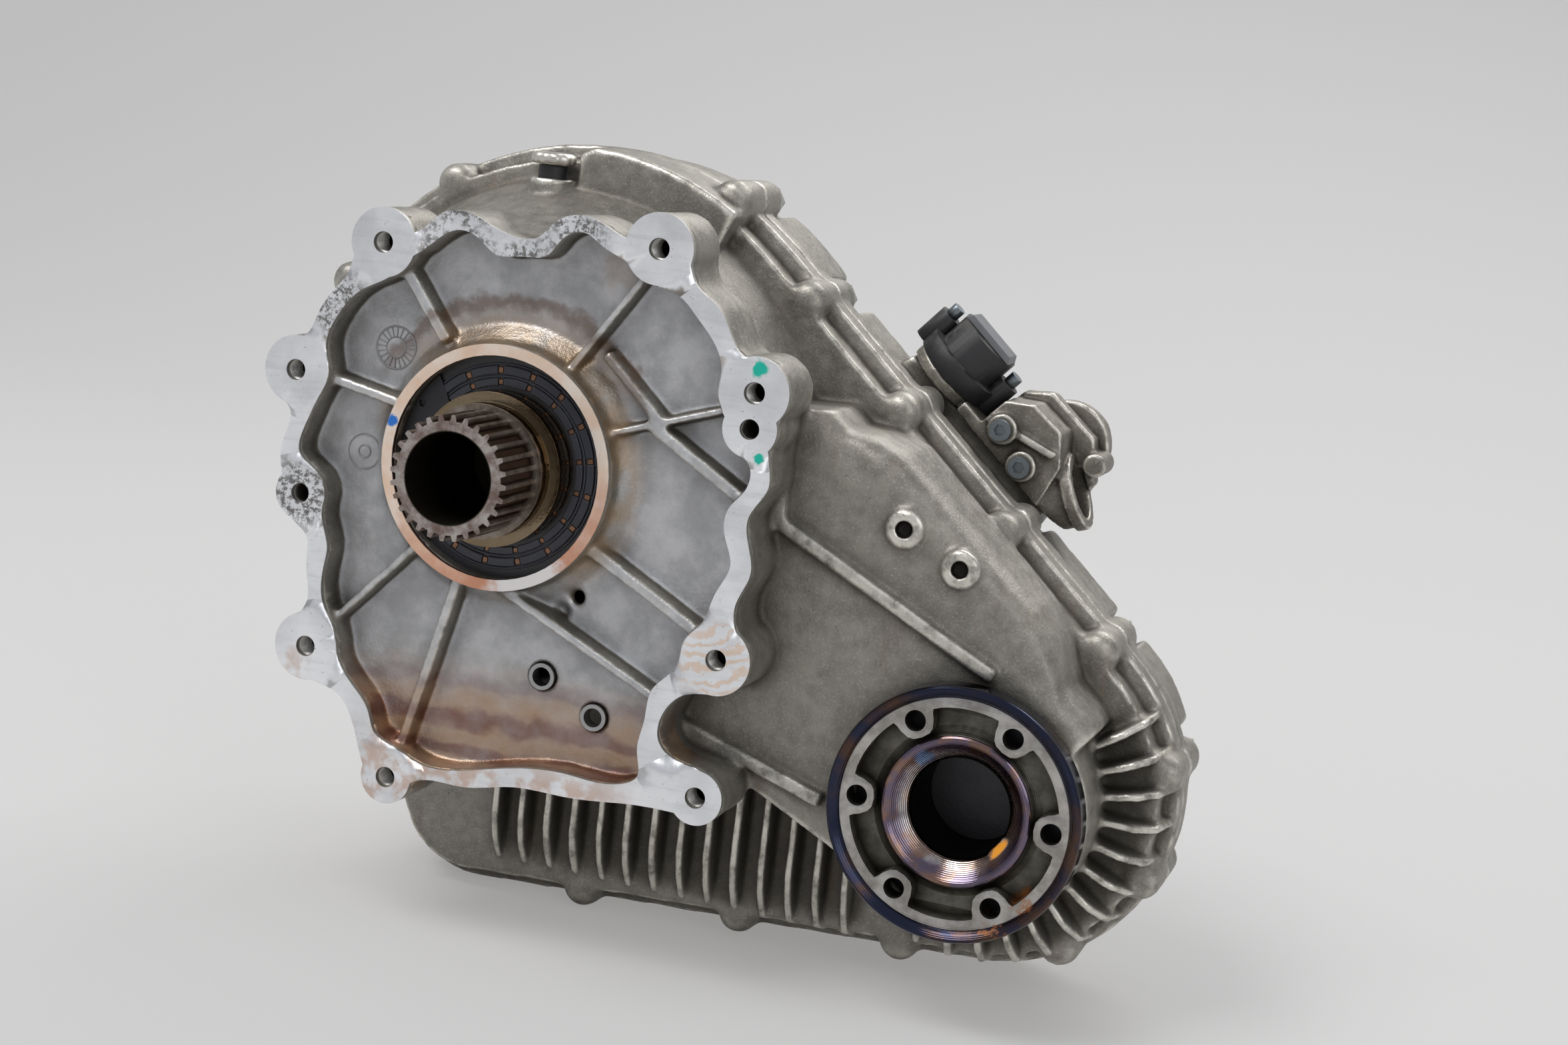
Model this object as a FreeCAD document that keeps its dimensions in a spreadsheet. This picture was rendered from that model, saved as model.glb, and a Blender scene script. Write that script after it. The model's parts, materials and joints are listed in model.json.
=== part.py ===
import FreeCAD, Part
import math
import os
import Sketcher
from FreeCAD import Placement, Rotation, Vector

# A two-shell transfer case. The frame sits on the input shaft's axis in the plane of the
# mating face: +X runs towards the front output, +Y into the case, +Z up. Millimetres.
os.makedirs("parts", exist_ok=True)
doc = FreeCAD.newDocument("TransferCase")

# ---------------------------------------------------------------- driving dimensions
SHEET = [
    ("output_across", 219.0, "front output axis, right of the input axis"),
    ("output_drop", 117.3, "front output axis, below the input axis"),
    ("web_face", 16.0, "recessed web behind the mating face"),
    ("web_thick", 6.0, "web thickness"),
    ("panel_face", 34.0, "front face of the chain case"),
    ("panel_thick", 6.0, "front wall of the chain case"),
    ("seam_plane", 104.0, "split between the two shells"),
    ("seam_flange", 12.0, "thickness of each seam flange"),
    ("input_round", 142.0, "radius of the seam round the input axis"),
    ("output_round", 85.0, "radius of the seam round the front output axis"),
    ("corner_round", 42.0, "radius of the sump corner"),
    ("case_wall", 6.0, "side wall of the shells"),
    ("flange_step", 7.0, "how far the seam flange stands out of the walls"),
    ("rear_wall_back", 166.0, "back of the chain case behind the front output"),
    ("hub_back", 214.0, "back of the rear hub"),
    ("neck_back", 246.0, "back of the rear neck"),
    ("bolt_seat", 128.0, "seat of the seam bolts' heads"),
    ("rear_bearing_round", 45.0, "rear bearing, outer radius"),
    ("rear_seal_round", 46.0, "rear seal, outer radius"),
    ("pilot_round", 32.0, "bearing behind the driven sprocket, outer radius"),
    ("output_seal_round", 47.0, "front output seal, outer radius"),
    ("output_bearing_round", 50.0, "front output bearing, outer radius"),
    ("hub_round", 96.0, "outer radius of the rear hub"),
    ("neck_round", 58.0, "outer radius of the rear neck"),
    ("bell_front", 103.0, "bell radius just behind the rim"),
    ("bell_back", 130.0, "bell radius at the seam flange"),
    ("lobe_round", 15.5, "bolt lobe of the mating rim"),
    ("small_lobe", 12.2, "smaller bolt lobe"),
    ("bolt_bore", 4.7, "tapped hole in the mating face, radius"),
    ("dowel_bore", 4.4, "dowel hole in the mating face, radius"),
    ("ring_round", 54.3, "input boss ring, outer radius"),
    ("ring_bore", 49.3, "input boss ring, bore radius"),
    ("fit", 0.05, "running clearance of a shaft in its bore"),
    ("gap", 0.3, "clearance between parts that only pass each other"),
    ("shaft_front", -45.3, "free end of the input shaft"),
    ("shaft_bore", 19.7, "bore of the input shaft, radius"),
    ("spline_root", 24.2, "input spline root radius"),
    ("spline_tip", 26.8, "input spline tip radius"),
    ("spline_teeth", 28, "input spline teeth"),
    ("spline_back", -15.0, "end of the input spline"),
    ("neck_radius", 29.5, "shaft neck behind the spline"),
    ("land_front", -6.0, "front of the polished seal land"),
    ("land_radius", 34.0, "seal land radius"),
    ("journal", 32.5, "bearing journal on the input shaft"),
    ("seal_front", 9.0, "input seal, front"),
    ("seal_thick", 9.0, "input seal, thickness"),
    ("bearing_front", 23.0, "input bearing, front"),
    ("bearing_wide", 20.0, "input bearing, width"),
    ("bearing_round", 50.0, "input bearing, outer radius"),
    ("gear_front", 52.0, "front of the planetary gears"),
    ("gear_wide", 20.0, "width of the planetary gears"),
    ("gear_module", 2.0, "tooth module"),
    ("sun_teeth", 36, "sun gear teeth"),
    ("planet_teeth", 15, "planet gear teeth"),
    ("plate_thick", 4.0, "carrier plate"),
    ("pin_radius", 5.0, "planet pin"),
    ("main_radius", 22.0, "main shaft radius"),
    ("chain_front", 86.0, "front of the chain"),
    ("chain_wide", 20.0, "width of the chain"),
    ("chain_pitch_round", 46.0, "pitch radius of both sprockets"),
    ("sprocket_teeth", 36, "teeth of both sprockets"),
    ("rim_front", 17.0, "front of the front output flange"),
    ("rim_round", 56.0, "front output flange, outer radius"),
    ("dish_round", 50.0, "recess of the front output flange"),
    ("hole_circle", 43.0, "radius of the flange's bolt circle"),
    ("flange_bore", 22.0, "bore of the flange hub"),
    ("flange_hub", 35.0, "outer radius of the flange hub"),
    ("rail_radius", 7.0, "shift rail radius"),
    ("control_round", 8.0, "control shaft radius"),
    ("pilot_nose", 13.0, "input shaft's pilot in the main shaft, radius"),
    ("stem_round", 6.5, "breather stem radius"),
    ("fin_thick", 3.8, "cooling fin thickness"),
    ("boss_round", 9.5, "column of a seam bolt, radius"),
    ("bolt_head", 8.4, "flange of a seam bolt's head, radius"),
    ("fin_pitch", 13.4, "pitch of the upright fins"),
]
sheet = doc.addObject("Spreadsheet::Sheet", "Sizes")
for row, (alias, number, note) in enumerate(SHEET, 1):
    sheet.set("A%d" % row, note)
    sheet.set("B%d" % row, str(number))
    sheet.setAlias("B%d" % row, alias)
doc.recompute()


class Size:
    """A length that knows both its value and the sheet formula it comes from."""

    def __init__(self, value, text):
        self.value = float(value)
        self.text = text

    def join(self, other, sign, value):
        return Size(value, "(%s %s %s)" % (self.text, sign, other.text))

    def __add__(self, other):
        other = plain(other)
        return self.join(other, "+", self.value + other.value)

    def __sub__(self, other):
        other = plain(other)
        return self.join(other, "-", self.value - other.value)

    def __mul__(self, other):
        other = plain(other)
        return self.join(other, "*", self.value * other.value)

    def __truediv__(self, other):
        other = plain(other)
        return self.join(other, "/", self.value / other.value)

    def __neg__(self):
        return Size(-self.value, "(-%s)" % self.text)


def plain(number):
    """A bare number as a Size."""
    if isinstance(number, Size):
        return number
    return Size(number, "(%.6f)" % number)


class Sizes:
    """Every alias of the sheet as an attribute."""

    def __init__(self):
        for alias, number, note in SHEET:
            setattr(self, alias, Size(number, "Sizes." + alias))


S = Sizes()
web_back = S.web_face + S.web_thick
panel_back = S.panel_face + S.panel_thick
flange_front = S.seam_plane - S.seam_flange
flange_back = S.seam_plane + S.seam_flange
INPUT = (plain(0), plain(0))
OUTPUT = (S.output_across, -S.output_drop)


# ---------------------------------------------------------------- modelling helpers
def bind(thing, name, number):
    """Tie a property to the sheet."""
    thing.setExpression(name, plain(number).text)


def new_body(label, place=INPUT):
    """A body whose own Y axis stands at the given place."""
    body = doc.addObject("PartDesign::Body", label)
    body.Label = label
    bind(body, "Placement.Base.x", place[0])
    bind(body, "Placement.Base.z", place[1])
    return body


def new_sketch(body, role="XZ_Plane", depth=0):
    """A sketch on one of the body's origin planes; on XZ, depth runs along +Y."""
    sketch = body.newObject("Sketcher::SketchObject", "Outline")
    for plane in body.Origin.OriginFeatures:
        if plane.Role == role:
            sketch.AttachmentSupport = [(plane, "")]
    sketch.MapMode = "FlatFace"
    turn = -plain(depth) if role == "XZ_Plane" else plain(depth)
    bind(sketch, "AttachmentOffset.Base.z", turn)
    return sketch


def add_polygon(sketch, corners):
    """Straight edges through corners that stay tied to the sheet."""
    first = len(sketch.Geometry)
    count = len(corners)
    points = [Vector(plain(a).value, plain(b).value, 0) for a, b in corners]
    edges = [Part.LineSegment(points[i], points[(i + 1) % count]) for i in range(count)]
    sketch.addGeometry(edges, False)
    locks = []
    for i in range(count):
        locks.append(Sketcher.Constraint("Coincident", first + i, 2, first + (i + 1) % count, 1))
        locks.append(Sketcher.Constraint("DistanceX", -1, 1, first + i, 1, points[i].x))
        locks.append(Sketcher.Constraint("DistanceY", -1, 1, first + i, 1, points[i].y))
    start = len(sketch.Constraints)
    sketch.addConstraint(locks)
    for i, (a, b) in enumerate(corners):
        bind(sketch, "Constraints[%d]" % (start + 3 * i + 1), a)
        bind(sketch, "Constraints[%d]" % (start + 3 * i + 2), b)


def add_circle(sketch, x, z, radius):
    """A circle tied to the sheet."""
    x, z, radius = plain(x), plain(z), plain(radius)
    index = sketch.addGeometry(Part.Circle(Vector(x.value, z.value, 0), Vector(0, 0, 1), radius.value), False)
    start = len(sketch.Constraints)
    sketch.addConstraint([
        Sketcher.Constraint("Radius", index, radius.value),
        Sketcher.Constraint("DistanceX", -1, 1, index, 3, x.value),
        Sketcher.Constraint("DistanceY", -1, 1, index, 3, z.value)])
    bind(sketch, "Constraints[%d]" % start, radius)
    bind(sketch, "Constraints[%d]" % (start + 1), x)
    bind(sketch, "Constraints[%d]" % (start + 2), z)


def pad(body, sketch, length):
    """Grow an XZ sketch along +Y."""
    feature = body.newObject("PartDesign::Pad", "Pad")
    feature.Profile = sketch
    bind(feature, "Length", length)
    feature.Reversed = True
    feature.Refine = False
    body.Tip = feature
    return feature


def pocket(body, sketch, length):
    """Cut an XZ sketch along +Y."""
    feature = body.newObject("PartDesign::Pocket", "Pocket")
    feature.Profile = sketch
    bind(feature, "Length", length)
    feature.Refine = False
    body.Tip = feature
    return feature


def revolve(body, corners, kind="PartDesign::Revolution"):
    """Turn a (depth, radius) profile about the body's Y axis."""
    sketch = new_sketch(body, "YZ_Plane")
    add_polygon(sketch, corners)
    feature = body.newObject(kind, "Turned")
    feature.Profile = sketch
    feature.ReferenceAxis = (sketch, ["H_Axis"])
    feature.Angle = 360
    feature.Refine = False
    body.Tip = feature
    return feature


def circle_row(body, feature, count, angle=360.0):
    """Repeat a feature about the body's Y axis."""
    pattern = body.newObject("PartDesign::PolarPattern", "Row")
    pattern.Originals = [feature]
    for axis in body.Origin.OriginFeatures:
        if axis.Role == "Y_Axis":
            pattern.Axis = (axis, [""])
    pattern.Angle = angle
    pattern.Occurrences = count
    pattern.Refine = False
    body.Tip = pattern
    return pattern


def turned(label, place, corners):
    """A turned piece in a node of its own."""
    body = new_body(label, place)
    revolve(body, corners)
    return body


def ring(label, place, front, wide, inner, outer):
    """A plain ring."""
    return turned(label, place, [(front, inner), (front, outer), (front + wide, outer), (front + wide, inner)])


# ---------------------------------------------------------------- solids for the castings
def deep(x, z, y=0.0):
    """A point from its place in the front view and its depth."""
    return Vector(x, y, z)


def heading(turn):
    """The unit direction at an angle in degrees from +X towards +Z."""
    return Vector(math.cos(math.radians(turn)), 0, math.sin(math.radians(turn)))


def prism(edges, front, back):
    """Grow a closed chain of edges in the XZ plane into a solid between two depths."""
    face = Part.Face(Part.Wire(edges))
    face.translate(Vector(0, front, 0))
    return face.extrude(Vector(0, back - front, 0))


def loop_of(corners):
    """The straight edges of a closed polygon of (x, z) corners."""
    points = [deep(x, z) for x, z in corners]
    return [Part.makeLine(points[i - 1], points[i]) for i in range(len(points))]


def smooth_loop(corners):
    """One smooth closed curve through (x, z) corners."""
    curve = Part.BSplineCurve()
    curve.interpolate([deep(x, z) for x, z in corners], PeriodicFlag=True)
    return [curve.toShape()]


def peg(place, radius, front, back):
    """A round bar along Y."""
    return Part.makeCylinder(radius, back - front, deep(place[0], place[1], front), Vector(0, 1, 0))


def lathe(corners, place=(0.0, 0.0)):
    """A (depth, radius) profile turned about an axis along Y."""
    points = [Vector(0, y, r) for y, r in corners]
    edges = [Part.makeLine(points[i - 1], points[i]) for i in range(len(points))]
    solid = Part.Face(Part.Wire(edges)).revolve(Vector(0, 0, 0), Vector(0, 1, 0), 360)
    solid.translate(deep(*place))
    return solid


def bar(x1, z1, x2, z2, width, front, back):
    """A straight rib between two points of the front view."""
    along = deep(x2 - x1, z2 - z1)
    across = Vector(-along.z, 0, along.x) * (width / 2 / along.Length)
    ends = [deep(x1, z1) + across, deep(x1, z1) - across, deep(x2, z2) - across, deep(x2, z2) + across]
    return prism(loop_of([(end.x, end.z) for end in ends]), front, back)


# ---------------------------------------------------------------- the shells' outlines
UPPER_TURN = 48.5
SIDE_TURN = 205.0
FLOOR_TURN = -87.05
axis_x = S.output_across.value
axis_z = -S.output_drop.value
big_round = S.input_round.value
small_round = S.output_round.value
wall = S.case_wall.value
step = S.flange_step.value
seam = S.seam_plane.value
front_flange = seam - S.seam_flange.value
back_flange = seam + S.seam_flange.value
set_back = front_flange - 14
panel = S.panel_face.value
rear_wall = S.rear_wall_back.value


def case_outline(grow):
    """The seam's outline, grown outwards: two bearing rounds, a sump corner and three flats."""
    big = big_round + grow
    small = small_round + grow
    corner = S.corner_round.value + grow
    across = deep(axis_x, axis_z)
    upper = math.degrees(math.acos((big - small) / across.Length) + math.atan2(across.z, across.x))
    side, floor = heading(SIDE_TURN), heading(FLOOR_TURN)
    side_reach = big - corner
    floor_reach = across.dot(floor) + small - corner
    spread = side.x * floor.z - side.z * floor.x
    middle = deep((side_reach * floor.z - floor_reach * side.z) / spread,
                  (side.x * floor_reach - floor.x * side_reach) / spread)
    rounds = [(deep(0, 0), big, upper, SIDE_TURN), (middle, corner, SIDE_TURN, 360 + FLOOR_TURN),
              (across, small, 360 + FLOOR_TURN, 360 + upper)]
    edges = []
    for i, (centre, radius, start, end) in enumerate(rounds):
        first = centre + heading(start) * radius
        last = centre + heading(end) * radius
        edges.append(Part.Arc(first, centre + heading((start + end) / 2) * radius, last).toShape())
        follow = rounds[(i + 1) % 3]
        edges.append(Part.makeLine(last, follow[0] + heading(follow[2]) * follow[1]))
    return edges


def on_input(turn, inset=6.0):
    """A seam bolt's place on the input round."""
    way = heading(turn) * (big_round - inset)
    return (way.x, way.z)


def on_output(turn, inset=6.0):
    """A seam bolt's place on the output round."""
    way = deep(axis_x, axis_z) + heading(turn) * (small_round - inset)
    return (way.x, way.z)


def between(first, second, share):
    """A place part of the way from one to the other."""
    return tuple(a * (1 - share) + b * share for a, b in zip(first, second))


upper_ends = (on_input(UPPER_TURN, 7.0), on_output(UPPER_TURN, 7.0))
floor_ends = ((-30.0, axis_z - small_round - 6.4), on_output(FLOOR_TURN))
SEAM_BOLTS = [on_input(62, 0.0), between(*upper_ends, 0.1), between(*upper_ends, 0.37),
              between(*upper_ends, 0.66), between(*upper_ends, 0.94), on_output(14),
              on_output(-22), on_output(-58), between(*floor_ends, 0.86), between(*floor_ends, 0.55),
              between(*floor_ends, 0.24), on_input(212, 5.0), on_input(183), on_input(152),
              on_input(121)]
PANEL_RIBS = [(118, -5, 226, -58, 6.5), (77, -100.5, 157, -126.5, 6.5), (123.5, 38, 123.5, -4, 4.5)]
PANEL_BOSSES = [(179.0, -1.5), (205.5, -14.6)]
BREATHER = (-15.0, 66.0)
BREATHER_SEAT = 126.0
FILL_PLUG = (150.0, -60.0)
DRAIN_PLUG = (40.0, -178.0)
ACTUATOR_OUT = big_round + 1
RAIL_OUT = 105.0
RAIL_DOWN = 45.0
OUTPUT_AXIS = (axis_x, axis_z)
INPUT_AXIS = (0.0, 0.0)

# ---------------------------------------------------------------- the mating face
BIG_LOBES = [(-63.0, 90.8), (65.8, 104.5), (115.3, 50.2), (112.0, -65.9), (-83.2, -94.8), (-100.2, 29.0)]
SMALL_LOBES = [(109.9, -127.4), (-37.5, -147.2)]
DOWEL_LOBES = [(115.0, 34.7), (-92.7, -25.8)]
RIM_OUTSIDE = [
    (-56, 97), (-44, 99.5), (-35.6, 107.2), (-25, 109), (-13, 104.8), (-2, 101.3), (10, 102.3), (17, 109.4),
    (29, 114.2), (43, 110), (56, 106), (76, 108), (84, 92), (94.4, 84.4), (102.5, 72), (108, 65.2),
    (121, 62), (128.5, 50), (124.3, 32), (125, 22), (126.5, 12), (119, -3), (119.5, -11), (123, -26),
    (117.8, -41), (118.5, -50), (124, -66), (117, -79), (100, -83.3), (92, -91), (90.4, -106), (98, -112.3),
    (116, -118), (120, -132), (102, -135.8), (77.8, -136.4), (52, -139), (24, -139.6), (0, -144.3),
    (-24, -147), (-38, -156), (-48, -146), (-54, -131), (-66, -113), (-84, -108), (-94, -92), (-84.5, -74),
    (-86.7, -56), (-87.5, -45), (-98, -36), (-102, -22), (-103.9, -5), (-101, 10), (-110, 20), (-112, 34),
    (-96, 46), (-91, 57), (-84, 68), (-78.5, 76), (-74, 92)]
RIM_INSIDE = [
    (-47.2, 87.2), (-38.9, 93.9), (-28, 100.6), (-18, 98.5), (-9, 92.4), (3.3, 93.1), (15, 95), (21.5, 103.2),
    (31, 106.9), (40, 102.4), (52, 97), (66, 88.8), (77, 86), (86, 78.4), (94, 70), (99.6, 57), (99.2, 46.5),
    (104.4, 36), (107, 27), (116.4, 20), (116.4, 9), (110.4, 1), (109, -10), (113.6, -24), (108, -38),
    (104, -50.5), (96.6, -60), (94.8, -71), (84.6, -84), (82.8, -98), (81, -112), (82.4, -123), (72, -128.8),
    (49, -128.7), (24, -131), (6.7, -135.2), (-22.2, -137.8), (-37, -132), (-45, -128), (-49, -119),
    (-61, -105.5), (-67.6, -95), (-71, -83), (-75.5, -76), (-77.8, -57), (-77, -48), (-81.2, -34),
    (-83, -17.5), (-94.6, -8), (-92.5, 7), (-88, 18.3), (-84, 29), (-86.5, 41), (-82, 56), (-71, 69),
    (-58, 76.5)]
RIBS = [
    (-53.0, 78.3, -31.9, 51.0, 6.0), (-87.0, 27.0, -52.0, 20.6, 5.0), (56.5, 89.5, 27.5, 46.5, 3.4),
    (46.0, 21.2, 101.5, 40.4, 3.0), (43.5, 56.2, 71.5, 31.0, 5.0), (70.0, 27.5, 112.5, 3.6, 6.0),
    (44.0, -28.2, 98.0, -56.2, 6.0), (6.0, -53.7, 83.0, -89.0, 4.6), (-15.2, -53.0, -35.2, -133.5, 5.0),
    (-36.5, -41.0, -77.0, -85.0, 3.6)]
BUSH_PLACES = [(26.6, -91.5), (53.0, -105.4)]


# ---------------------------------------------------------------- front shell
def panel_outline(grow):
    """The raised chain-case panel beside the mating rim, grown outwards."""
    upper = heading(UPPER_TURN)
    reach = small_round - 18 + grow
    small = small_round - 33 + grow
    middle = deep(axis_x, axis_z)
    crown = middle + upper * reach
    top = crown + Vector(-upper.z, 0, upper.x) * (axis_x * 0.76)
    step_out = middle + heading(38) * reach
    step_in = middle + heading(34) * small
    tail = middle + heading(-118) * small
    foot = deep(74, -104 - grow)
    heel = deep(66, 40)
    return [Part.makeLine(top, crown), Part.Arc(crown, middle + heading(43.25) * reach, step_out).toShape(),
            Part.makeLine(step_out, step_in), Part.Arc(step_in, middle + heading(-42) * small, tail).toShape(),
            Part.makeLine(tail, foot), Part.makeLine(foot, heel), Part.makeLine(heel, top)]


def panel_block():
    """The panel with its rounded upper shoulder."""
    block = prism(panel_outline(0), panel, set_back + 1)
    upper = heading(UPPER_TURN)
    crest = deep(axis_x, axis_z).dot(upper) + small_round - 18
    shoulder = []
    for edge in block.Edges:
        low, high = edge.BoundBox.YMin, edge.BoundBox.YMax
        if high - panel < 0.01 and edge.CenterOfMass.dot(upper) > crest - 2 and low > panel - 0.01:
            shoulder.append(edge)
    return block.makeFillet(11, shoulder)


def blind_boss(place, front, back):
    """A seam bolt's column with a domed front end."""
    radius = S.boss_round.value
    return lathe([(front, 0), (front, radius * 0.45), (front + 2, radius * 0.8), (front + 6, radius),
                  (back, radius), (back, 0)], place)


def upright_fin(middle):
    """One upright cooling fin with a foot that sweeps out to the seam flange."""
    low = axis_z - small_round - 6
    crest = set_back - 14
    corners = [(set_back + 2, low + 92), (crest, low + 86), (crest, low + 34), (crest + 4, low + 20),
               (crest + 11, low + 10), (front_flange + 1, low + 4), (front_flange + 1, low + 40)]
    points = [Vector(middle - S.fin_thick.value / 2, y, z) for y, z in corners]
    edges = [Part.makeLine(points[i - 1], points[i]) for i in range(len(points))]
    return Part.Face(Part.Wire(edges)).extrude(Vector(S.fin_thick.value, 0, 0))


def round_fin(turn):
    """One of the fins that stand round the front output."""
    thick = S.fin_thick.value
    corners = [(set_back + 2, 52), (set_back - 16, 54), (set_back - 14, small_round - 14),
               (set_back - 6, small_round - 5), (front_flange + 1, small_round - 1), (front_flange + 1, 60)]
    points = [Vector(-thick / 2, y, r) for y, r in corners]
    edges = [Part.makeLine(points[i - 1], points[i]) for i in range(len(points))]
    fin = Part.Face(Part.Wire(edges)).extrude(Vector(thick, 0, 0))
    fin.rotate(Vector(0, 0, 0), Vector(0, 1, 0), 90 - turn)
    fin.translate(deep(axis_x, axis_z))
    return fin


def crown_wall():
    """The tall wall over the input round."""
    inner = big_round - 34
    ends = [heading(91) * inner, heading(91) * (big_round - 4), heading(88) * big_round,
            heading(58) * big_round, heading(55) * inner]
    edges = [Part.makeLine(ends[0], ends[1]), Part.makeLine(ends[1], ends[2]),
             Part.Arc(ends[2], heading(76) * big_round, ends[3]).toShape(),
             Part.makeLine(ends[3], ends[4]), Part.makeLine(ends[4], ends[0])]
    return prism(edges, front_flange - 28, front_flange + 1)


def upright_peg(place, radius, low, high):
    """A round bar along Z at a place (x, y)."""
    return Part.makeCylinder(radius, high - low, Vector(place[0], place[1], low), Vector(0, 0, 1))


def build_front_case():
    thin = S.web_face.value
    web_rear = thin + S.web_thick.value
    seat_back = S.bearing_front.value + S.bearing_wide.value
    outside = [
        prism(case_outline(-step), set_back, front_flange + 1),
        lathe([(14, 0), (14, S.bell_front.value), (front_flange - 6, S.bell_back.value), (front_flange - 6, 0)]),
        panel_block(), crown_wall(), prism(smooth_loop(RIM_OUTSIDE), 0, panel + 2)]
    outside += [upright_fin(S.fin_pitch.value * count - 11) for count in range(14)]
    outside += [round_fin(32 - 11.5 * count) for count in range(13)]
    shell = prism(case_outline(0), front_flange, seam).multiFuse(outside)
    hollow = [
        prism(smooth_loop(RIM_INSIDE), -1, thin),
        prism(case_outline(-step - wall), set_back + wall, seam + 1),
        prism(panel_outline(-wall), panel + wall, set_back + wall + 1),
        peg(INPUT_AXIS, S.bell_front.value - wall, web_rear, set_back + wall + 1)]
    shell = shell.cut(hollow)
    added = [peg(place, S.lobe_round.value, 0, panel + 1) for place in BIG_LOBES]
    added += [peg(place, S.small_lobe.value, 0, panel + 1) for place in SMALL_LOBES + DOWEL_LOBES]
    ring, back = S.ring_round.value, S.bearing_round.value + 8
    added.append(lathe([(0, ring - 9), (0, ring), (8, ring), (thin, ring + 9), (web_rear, ring + 9),
                        (web_rear, back), (seat_back, back), (seat_back, ring - 9)]))
    added += [bar(*rib, 6, thin + 1) for rib in RIBS]
    added += [bar(*rib, panel - 5, panel + 2) for rib in PANEL_RIBS]
    added += [peg(place, 8.8, panel - 4, panel + 1) for place in PANEL_BOSSES]
    added += [blind_boss(place, seam - 27, seam) for place in SEAM_BOLTS]
    added.append(peg(OUTPUT_AXIS, S.flange_hub.value + 20, panel + 1, 72))
    added.append(upright_peg(BREATHER, 10.0, BREATHER_SEAT - 14, BREATHER_SEAT))
    shell = shell.multiFuse(added)
    holes = [peg(INPUT_AXIS, S.ring_bore.value, -1, S.bearing_front.value),
             peg(INPUT_AXIS, S.bearing_round.value + S.fit.value, S.bearing_front.value, seat_back + 1),
             peg(OUTPUT_AXIS, S.flange_hub.value + 2, panel - 1, 73),
             peg(OUTPUT_AXIS, S.output_seal_round.value, panel - 1, 46),
             peg(OUTPUT_AXIS, S.output_bearing_round.value + S.fit.value, 50, 73)]
    holes += [peg(place, S.bolt_bore.value, -1, 26) for place in BIG_LOBES + SMALL_LOBES]
    holes += [peg(place, S.dowel_bore.value, -1, 20) for place in DOWEL_LOBES]
    holes += [peg(place, 3.7, panel - 5, panel + 5) for place in PANEL_BOSSES]
    holes += [peg(place, 6.1, thin - 1, web_rear + 1) for place in BUSH_PLACES]
    holes += [peg(place, 4.0, seam - 20, seam + 1) for place in SEAM_BOLTS]
    holes.append(peg((39.1, -53.3), 3.1, thin - 1, web_rear + 1))
    holes.append(upright_peg(BREATHER, S.stem_round.value + S.fit.value, BREATHER_SEAT - 11, BREATHER_SEAT + 1))
    return shell.cut(holes)


def casting(label, shape):
    """A casting as a document object of its own."""
    feature = doc.addObject("Part::Feature", label)
    feature.Label = label
    feature.Shape = shape
    return feature


# ---------------------------------------------------------------- rear shell
def on_side(out, down):
    """A place measured out from the input axis across the upper flat, and down along that flat."""
    way = heading(UPPER_TURN) * out + heading(UPPER_TURN - 90) * down
    return (way.x, way.z)


CONTROL_DOWN = 84.0
CONTROL_DEEP = 150.0


def side_peg(down, depth, radius, near, far):
    """A round bar square to the upper flat."""
    x, z = on_side(near, down)
    return Part.makeCylinder(radius, far - near, deep(x, z, depth), heading(UPPER_TURN))


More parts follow.
